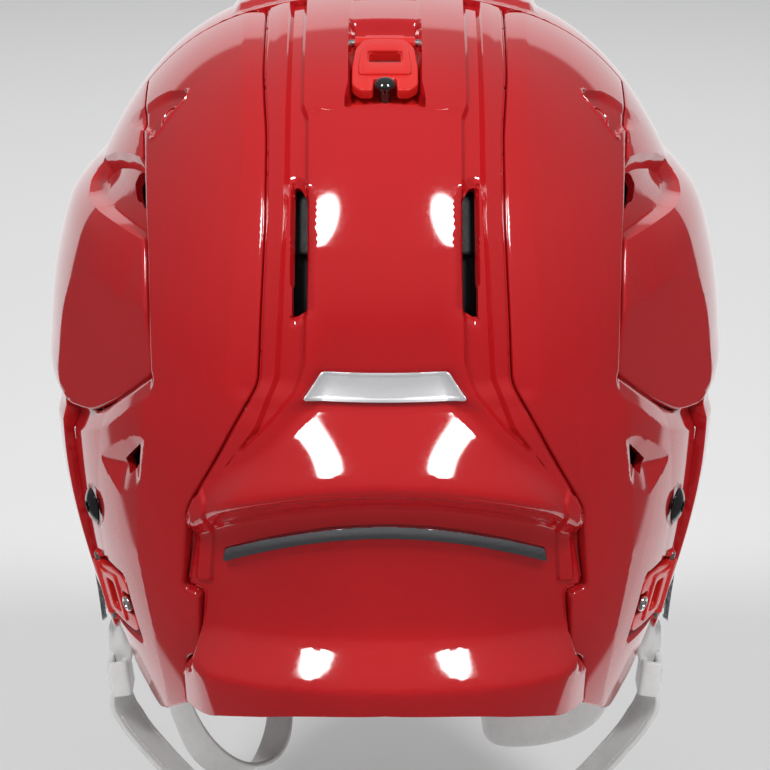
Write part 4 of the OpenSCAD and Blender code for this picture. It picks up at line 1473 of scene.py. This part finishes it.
def build_chin_cup():
    """Curved cup across the chin: thin in the middle, with a rolled edge all round and two slots."""
    turns, rows = 44, 20
    a = np.linspace(-38, 38, turns)
    angle = np.arcsin(a / 63)
    y = np.linspace(-16.5, 16.5, rows)
    verts = []
    for face in (0, 1):
        for i, t in enumerate(angle):
            for v in y:
                edge = min((38 - abs(a[i])) / 3.2, (16.5 - abs(v)) / 3.2, 1)
                roll = math.sqrt(max(0.0, 1 - (1 - max(edge, 0)) ** 2))
                thick = 0.5 + 1.9 * roll + 0.5 * (1 - smoothstep(min((38 - abs(a[i])), (16.5 - abs(v))) / 6))
                squeeze = 1 - 0.16 * (abs(a[i]) / 38) ** 4
                r = 61.4 + thick * (1 - 2 * face) - 1.6 * (abs(v) / 16.5) ** 3
                verts.append((r * math.sin(t), 22 + v * squeeze, -118 - r * math.cos(t)))
    faces = []
    n = turns * rows
    for i in range(turns - 1):
        for j in range(rows - 1):
            k = i * rows + j
            if i % 12 in (4, 5) and 6 <= j <= 12 and 6 < i < 38:
                continue
            faces.append((k, k + 1, k + rows + 1, k + rows))
            faces.append((n + k + rows, n + k + rows + 1, n + k + 1, n + k))
    faces = np.array(faces)
    edges = np.concatenate([faces[:, [i, (i + 1) % 4]] for i in range(4)])
    key = edges[:, 0] * 2 * n + edges[:, 1]
    back = edges[:, 1] * 2 * n + edges[:, 0]
    rim = edges[~np.isin(key, back)]
    rim = rim[(rim < n).all(1)]
    sides = np.column_stack([rim[:, 1], rim[:, 0], rim[:, 0] + n, rim[:, 1] + n])
    cup = new_object("chin_cup_moulding", verts, np.vstack([faces, sides]), WHITE_PLASTIC, sharp=40)
    smooth = cup.modifiers.new("smooth", "SUBSURF")
    smooth.levels = smooth.render_levels = 1
    place(cup, "strap", "white_plastic", "chin_cup")


# ---------------------------------------------------------------- badge and bright strip


def surface_strip(name, field_clips, lines, shape, wall, material, sharp=32):
    """Thin piece that follows the nape panel's surface inside the given limits."""
    skin = Skin(lambda p: np.minimum.reduce([f(p) for f in field_clips]), 8)
    for field in field_clips:
        skin.clip(field)
    for field, at in lines:
        skin.cut(field, at)
    return thick_object(name, skin, shape, wall, material, sharp)


BADGE_TOP = 24.8


def badge_field(p):
    outline = [(-20.2, BADGE_TOP), (20.2, BADGE_TOP), (25.8, 15.3), (-25.8, 15.3)]
    gap = area_gap(p[:, 0], p[:, 2], corner_round(outline, 1.2))
    return np.where(p[:, 1] > 60, -gap, -99.0)


STRIP_HALF = 2.1


def strip_field(p):
    """Distance inside the bowed strip with its blunt ends."""
    gap = STRIP_HALF - np.abs(strip_height(p))
    return np.where(p[:, 1] > 60, np.minimum(gap, 52 - np.abs(p[:, 0])), -99.0)


def strip_height(p):
    """Height over the strip's bowed middle line."""
    return p[:, 2] + 27.0 + p[:, 0] ** 2 / 195


def build_trim():
    def badge_shape(p, d):
        inside = badge_field(p)
        tilt = (BADGE_TOP - p[:, 2]) * 0.16
        edge = lip(np.maximum(inside, 0), 0.5)
        return nape_shape(p, d) + 0.5 + tilt + edge - 0.15 * linear(inside, 1.0, 1.3)

    lines = [(badge_field, at) for at in (0.5, 1.0, 1.3)]
    badge = surface_strip("badge_plate_skin", (badge_field,), lines, badge_shape, 0.8, BADGE)
    place(badge, "nape", "badge", "badge_plate")

    def strip_shape(p, d):
        """Crowned face that looks a little upwards, with rounded edges."""
        up = strip_height(p) / STRIP_HALF
        crown = 1.7 - 1.0 * up - 0.5 * up * up
        return nape_shape(p, d) + crown + lip(np.maximum(strip_field(p), 0), 0.5)

    lines = [(strip_field, at) for at in (0.12, 0.3, 0.5)] + [(strip_height, at) for at in (0.8, 0.0, -0.8)]
    strip = surface_strip("accent_strip_skin", (strip_field,), lines, strip_shape, 1.2, TRIM, 60)
    place(strip, "nape", "bright_trim", "accent_strip")


def build_bridge():
    """Band of the rear shell that crosses under the crown and joins its two arms."""
    def zone(p):
        return np.minimum(np.minimum(54 - np.abs(p[:, 0]), 10 - np.abs(p[:, 2] - 70)), p[:, 1])

    skin = Skin(zone, 6)
    skin.lips(zone, 0.0, 1.0)

    def shape(p, d):
        return lip(np.maximum(zone(p), 0), 1.0) - BRIDGE_DROP

    bridge = thick_object("rear_bridge_band", skin, shape, 2.5, DARK)
    place(bridge, "rear", "black")


# ---------------------------------------------------------------- liners, pads and guards


def layer_piece(name, zone, level, top, low, material, edge, grooves=(), sharp=40):
    """Foam between two depths below the dome, with rounded edges; zone is the distance inside its outline.
    Each groove is a field and the value along which it runs, sunk into the face towards the head."""
    skin = Skin(zone, level)
    skin.lips(zone, 0.0, edge)
    for field, at in grooves:
        for side in (-1, -0.45, 0.45, 1):
            skin.cut(field, at + side * GROOVE_HALF)

    def shape(p, d):
        return lip(np.maximum(zone(p), 0), edge) - top

    def wall(p, d):
        drop = 1.7 * lip(np.maximum(zone(p), 0), edge)
        for field, at in grooves:
            away = np.abs(field(p) - at) / GROOVE_HALF
            drop = np.minimum(drop, -GROOVE_DEPTH * (1 - linear(away, 0.45, 1)))
        return np.maximum(low - top + drop, 0.4)

    return thick_object(name, skin, shape, wall, material, sharp)


def swell(piece, voxel, cap):
    """Stuffed form by a cloth simulation with air pressure inside; no point moves further than cap, in mm."""
    remesh = piece.modifiers.new("remesh", "REMESH")
    remesh.mode = "VOXEL"
    remesh.voxel_size = voxel * MM
    apply_modifiers(piece)
    n = len(piece.data.vertices)
    start = np.empty(n * 3)
    piece.data.vertices.foreach_get("co", start)
    cloth = piece.modifiers.new("cloth", "CLOTH")
    cloth.settings.use_pressure = True
    cloth.settings.uniform_pressure_force = 4
    cloth.settings.effector_weights.gravity = 0
    cloth.settings.quality = 4
    for step in range(1, 21):
        bpy.context.scene.frame_set(step)
    apply_modifiers(piece)
    bpy.context.scene.frame_set(1)
    end = np.empty(n * 3)
    piece.data.vertices.foreach_get("co", end)
    move = (end - start).reshape(-1, 3)
    far = np.linalg.norm(move, axis=1, keepdims=True)
    move *= np.minimum(1, cap * MM / np.maximum(far, 1e-9))
    piece.data.vertices.foreach_set("co", (start.reshape(-1, 3) + move).ravel())
    piece.data.update()
    smooth = piece.modifiers.new("smooth", "SUBSURF")
    smooth.levels = smooth.render_levels = 1


def apply_modifiers(piece):
    """Replaces a piece's mesh by what its modifiers make of it."""
    bpy.context.view_layer.update()
    graph = bpy.context.evaluated_depsgraph_get()
    mesh = bpy.data.meshes.new_from_object(piece.evaluated_get(graph), depsgraph=graph)
    piece.modifiers.clear()
    material = piece.data.materials[0]
    piece.data = mesh
    mesh.materials.clear()
    mesh.materials.append(material)
    mesh.shade_smooth()


LINER_TOP, LINER_LOW, PAD_TOP, PAD_LOW = 11.6, 22.6, 23.1, 29.1
GROOVE_HALF, GROOVE_DEPTH = 1.9, 2.6

TEMPLE_OUTLINE = [(-34, 30), (-76, 26), (-80, -30), (-56, -46), (-44, -30), (-38, 0)]
REAR_LINER_SIDE = [(44, -8.5), (130, -8.5), (130, -50), (88, -50), (58, -40), (44, -20)]
REAR_LINER_BACK = corner_round([(54.5, -8.5), (120, -8.5), (120, -60), (70, -60)], 3.0)
NAPE_LINER_SIDE = corner_round([(40, 94), (130, 94), (150, -84), (60, -84), (60, 40), (30, 60)], 3.0)
NAPE_LINER_BACK = corner_round([(-1, 100), (34, 100), (36, 0), (52, -30), (52, -90), (-1, -90)], 3.0)
GUARD_OUTLINE = corner_round(
    [(-38, -6), (20, -6), (19.5, -28), (22.5, -60), (24, -75), (30, -80), (27, -92), (14, -97), (-14, -94),
     (-38, -82), (-50, -68), (-45, -56), (-38.5, -27.5)], 4.0)


def front_liner_zone(p):
    u, y, z = np.abs(p[:, 0]), p[:, 1], p[:, 2]
    wings = np.minimum.reduce([u - 57, z - 9, 79 - z, 84 - y])
    return np.minimum(front_gap(p) - 6, np.maximum(6 - y, wings))


def rear_liner_zone(p):
    side = -area_gap(p[:, 1], p[:, 2], corner_round(REAR_LINER_SIDE, 3.0))
    return np.minimum(side, -area_gap(p[:, 0], p[:, 2], REAR_LINER_BACK))


def nape_liner_zone(p):
    side = -area_gap(p[:, 1], p[:, 2], NAPE_LINER_SIDE)
    return np.minimum(side, -area_gap(np.abs(p[:, 0]), p[:, 2], NAPE_LINER_BACK))


def build_liners():
    """Expanded-foam liners with moulded grooves between their blocks."""
    def round_head(p):
        """Length round the head from the middle of the forehead, as an angle times a middling radius."""
        return np.arctan2(np.abs(p[:, 0]), -p[:, 1]) * 100

    def height(p):
        return p[:, 2]

    def back(p):
        return p[:, 1]

    def across(p):
        return np.abs(p[:, 0])

    lines = [(round_head, at) for at in (34, 78, 122, 166)] + [(height, at) for at in (30, 66)]
    front = layer_piece("front_liner_foam", front_liner_zone, 6, LINER_TOP, LINER_LOW, FOAM, 2.0, lines)
    place(front, "front", "foam", "front_liner")
    rear = layer_piece("rear_liner_foam_left", lambda p: np.where(p[:, 0] > 0, rear_liner_zone(p), -50), 6,
                       LINER_TOP, LINER_LOW, FOAM, 2.0, [(back, 72), (height, -27)])
    for part in both(rear, "rear", "foam", "rear_liner"):
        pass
    lines = [(across, 17)] + [(height, at) for at in (-52, -20, 14, 48)]
    nape = layer_piece("nape_liner_foam", nape_liner_zone, 6, LINER_TOP, LINER_LOW, FOAM, 2.0, lines)
    place(nape, "nape", "foam", "nape_liner")


def build_pads():
    """Lined comfort pads, swollen by cloth simulation."""
    def forehead(p):
        return np.minimum.reduce([62 - np.abs(p[:, 0]), -10 - p[:, 1], p[:, 2] - 34, 60 - p[:, 2]]) - 1.6

    def crown(p):
        return np.minimum.reduce([26 - np.abs(p[:, 0]), -p[:, 1], p[:, 1] + 44, p[:, 2] - 40]) - 1.6

    def temple(p):
        loop = corner_round(TEMPLE_OUTLINE, 5.0)
        return np.where(p[:, 0] > 0, -area_gap(p[:, 1], p[:, 2], loop), -50) - 1.6

    def nape(p):
        loop = corner_round([(-1, 10), (32, 10), (44, -40), (38, -62), (-1, -62)], 5.0)
        return np.minimum(-area_gap(np.abs(p[:, 0]), p[:, 2], loop), p[:, 1] - 40) - 1.6

    for name, zone, body in (("forehead_pad", forehead, "front"), ("crown_pad", crown, "front"),
                             ("temple_pad", temple, "front"), ("nape_pad", nape, "nape")):
        pad = layer_piece(name + ("_cover_left" if zone is temple else "_cover"), zone, 6, PAD_TOP + 1.5,
                          PAD_LOW - 1.1, PAD, 1.4)
        swell(pad, 2.6, 1.3)
        parts = both(pad, body, "pad", name) if zone is temple else (place(pad, body, "pad", name),)


def build_ear_guards():
    """Clear moulded guards with three slots and a thickened rim."""
    slots = []
    for y in (-14, 0, 14):
        outline = [(y - 2.5, -65), (y + 2.5, -65), (y + 2.5, -39), (y - 2.5, -39)]
        slots.append(corner_round(outline, 2.2))

    def zone(p):
        gap = -area_gap(p[:, 1], p[:, 2], GUARD_OUTLINE)
        for slot in slots:
            gap = np.minimum(gap, area_gap(p[:, 1], p[:, 2], slot))
        return np.where(p[:, 0] > 60, gap, -50)

    skin = Skin(zone, 6, GUARD_DEPTH)
    skin.lips(zone, 0.0, 0.9)
    skin.cut(zone, 2.4)

    def shape(p, d):
        gap = np.maximum(zone(p), 0)
        return lip(gap, 0.7) - FLANGE_DROP - 0.5 * linear(gap, 1.7, 2.4)

    guard = thick_object("ear_guard_sheet_left", skin, shape, 1.9, CLEAR)
    both(guard, "front", "clear", "ear_guard")


def dress_frame():
    """Carried-over CAD nodes get their finishes."""
    for name in ("side_nut_left", "side_nut_right", "cage_nut_left", "cage_nut_right", "nape_guide_studs",
                 "ear_guard_rivets"):
        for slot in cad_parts[name].material_slots:
            slot.material = STEEL


build_bridge()
build_clips()
build_fasteners()
build_straps()
build_keepers()
build_chin_cup()
build_trim()
build_liners()
build_pads()
build_ear_guards()
dress_frame()


def numbers(box):
    return [[float(c) for c in corner] for corner in box]


{"cad": numbers((cad_low, cad_high)), "visual": numbers(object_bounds())}
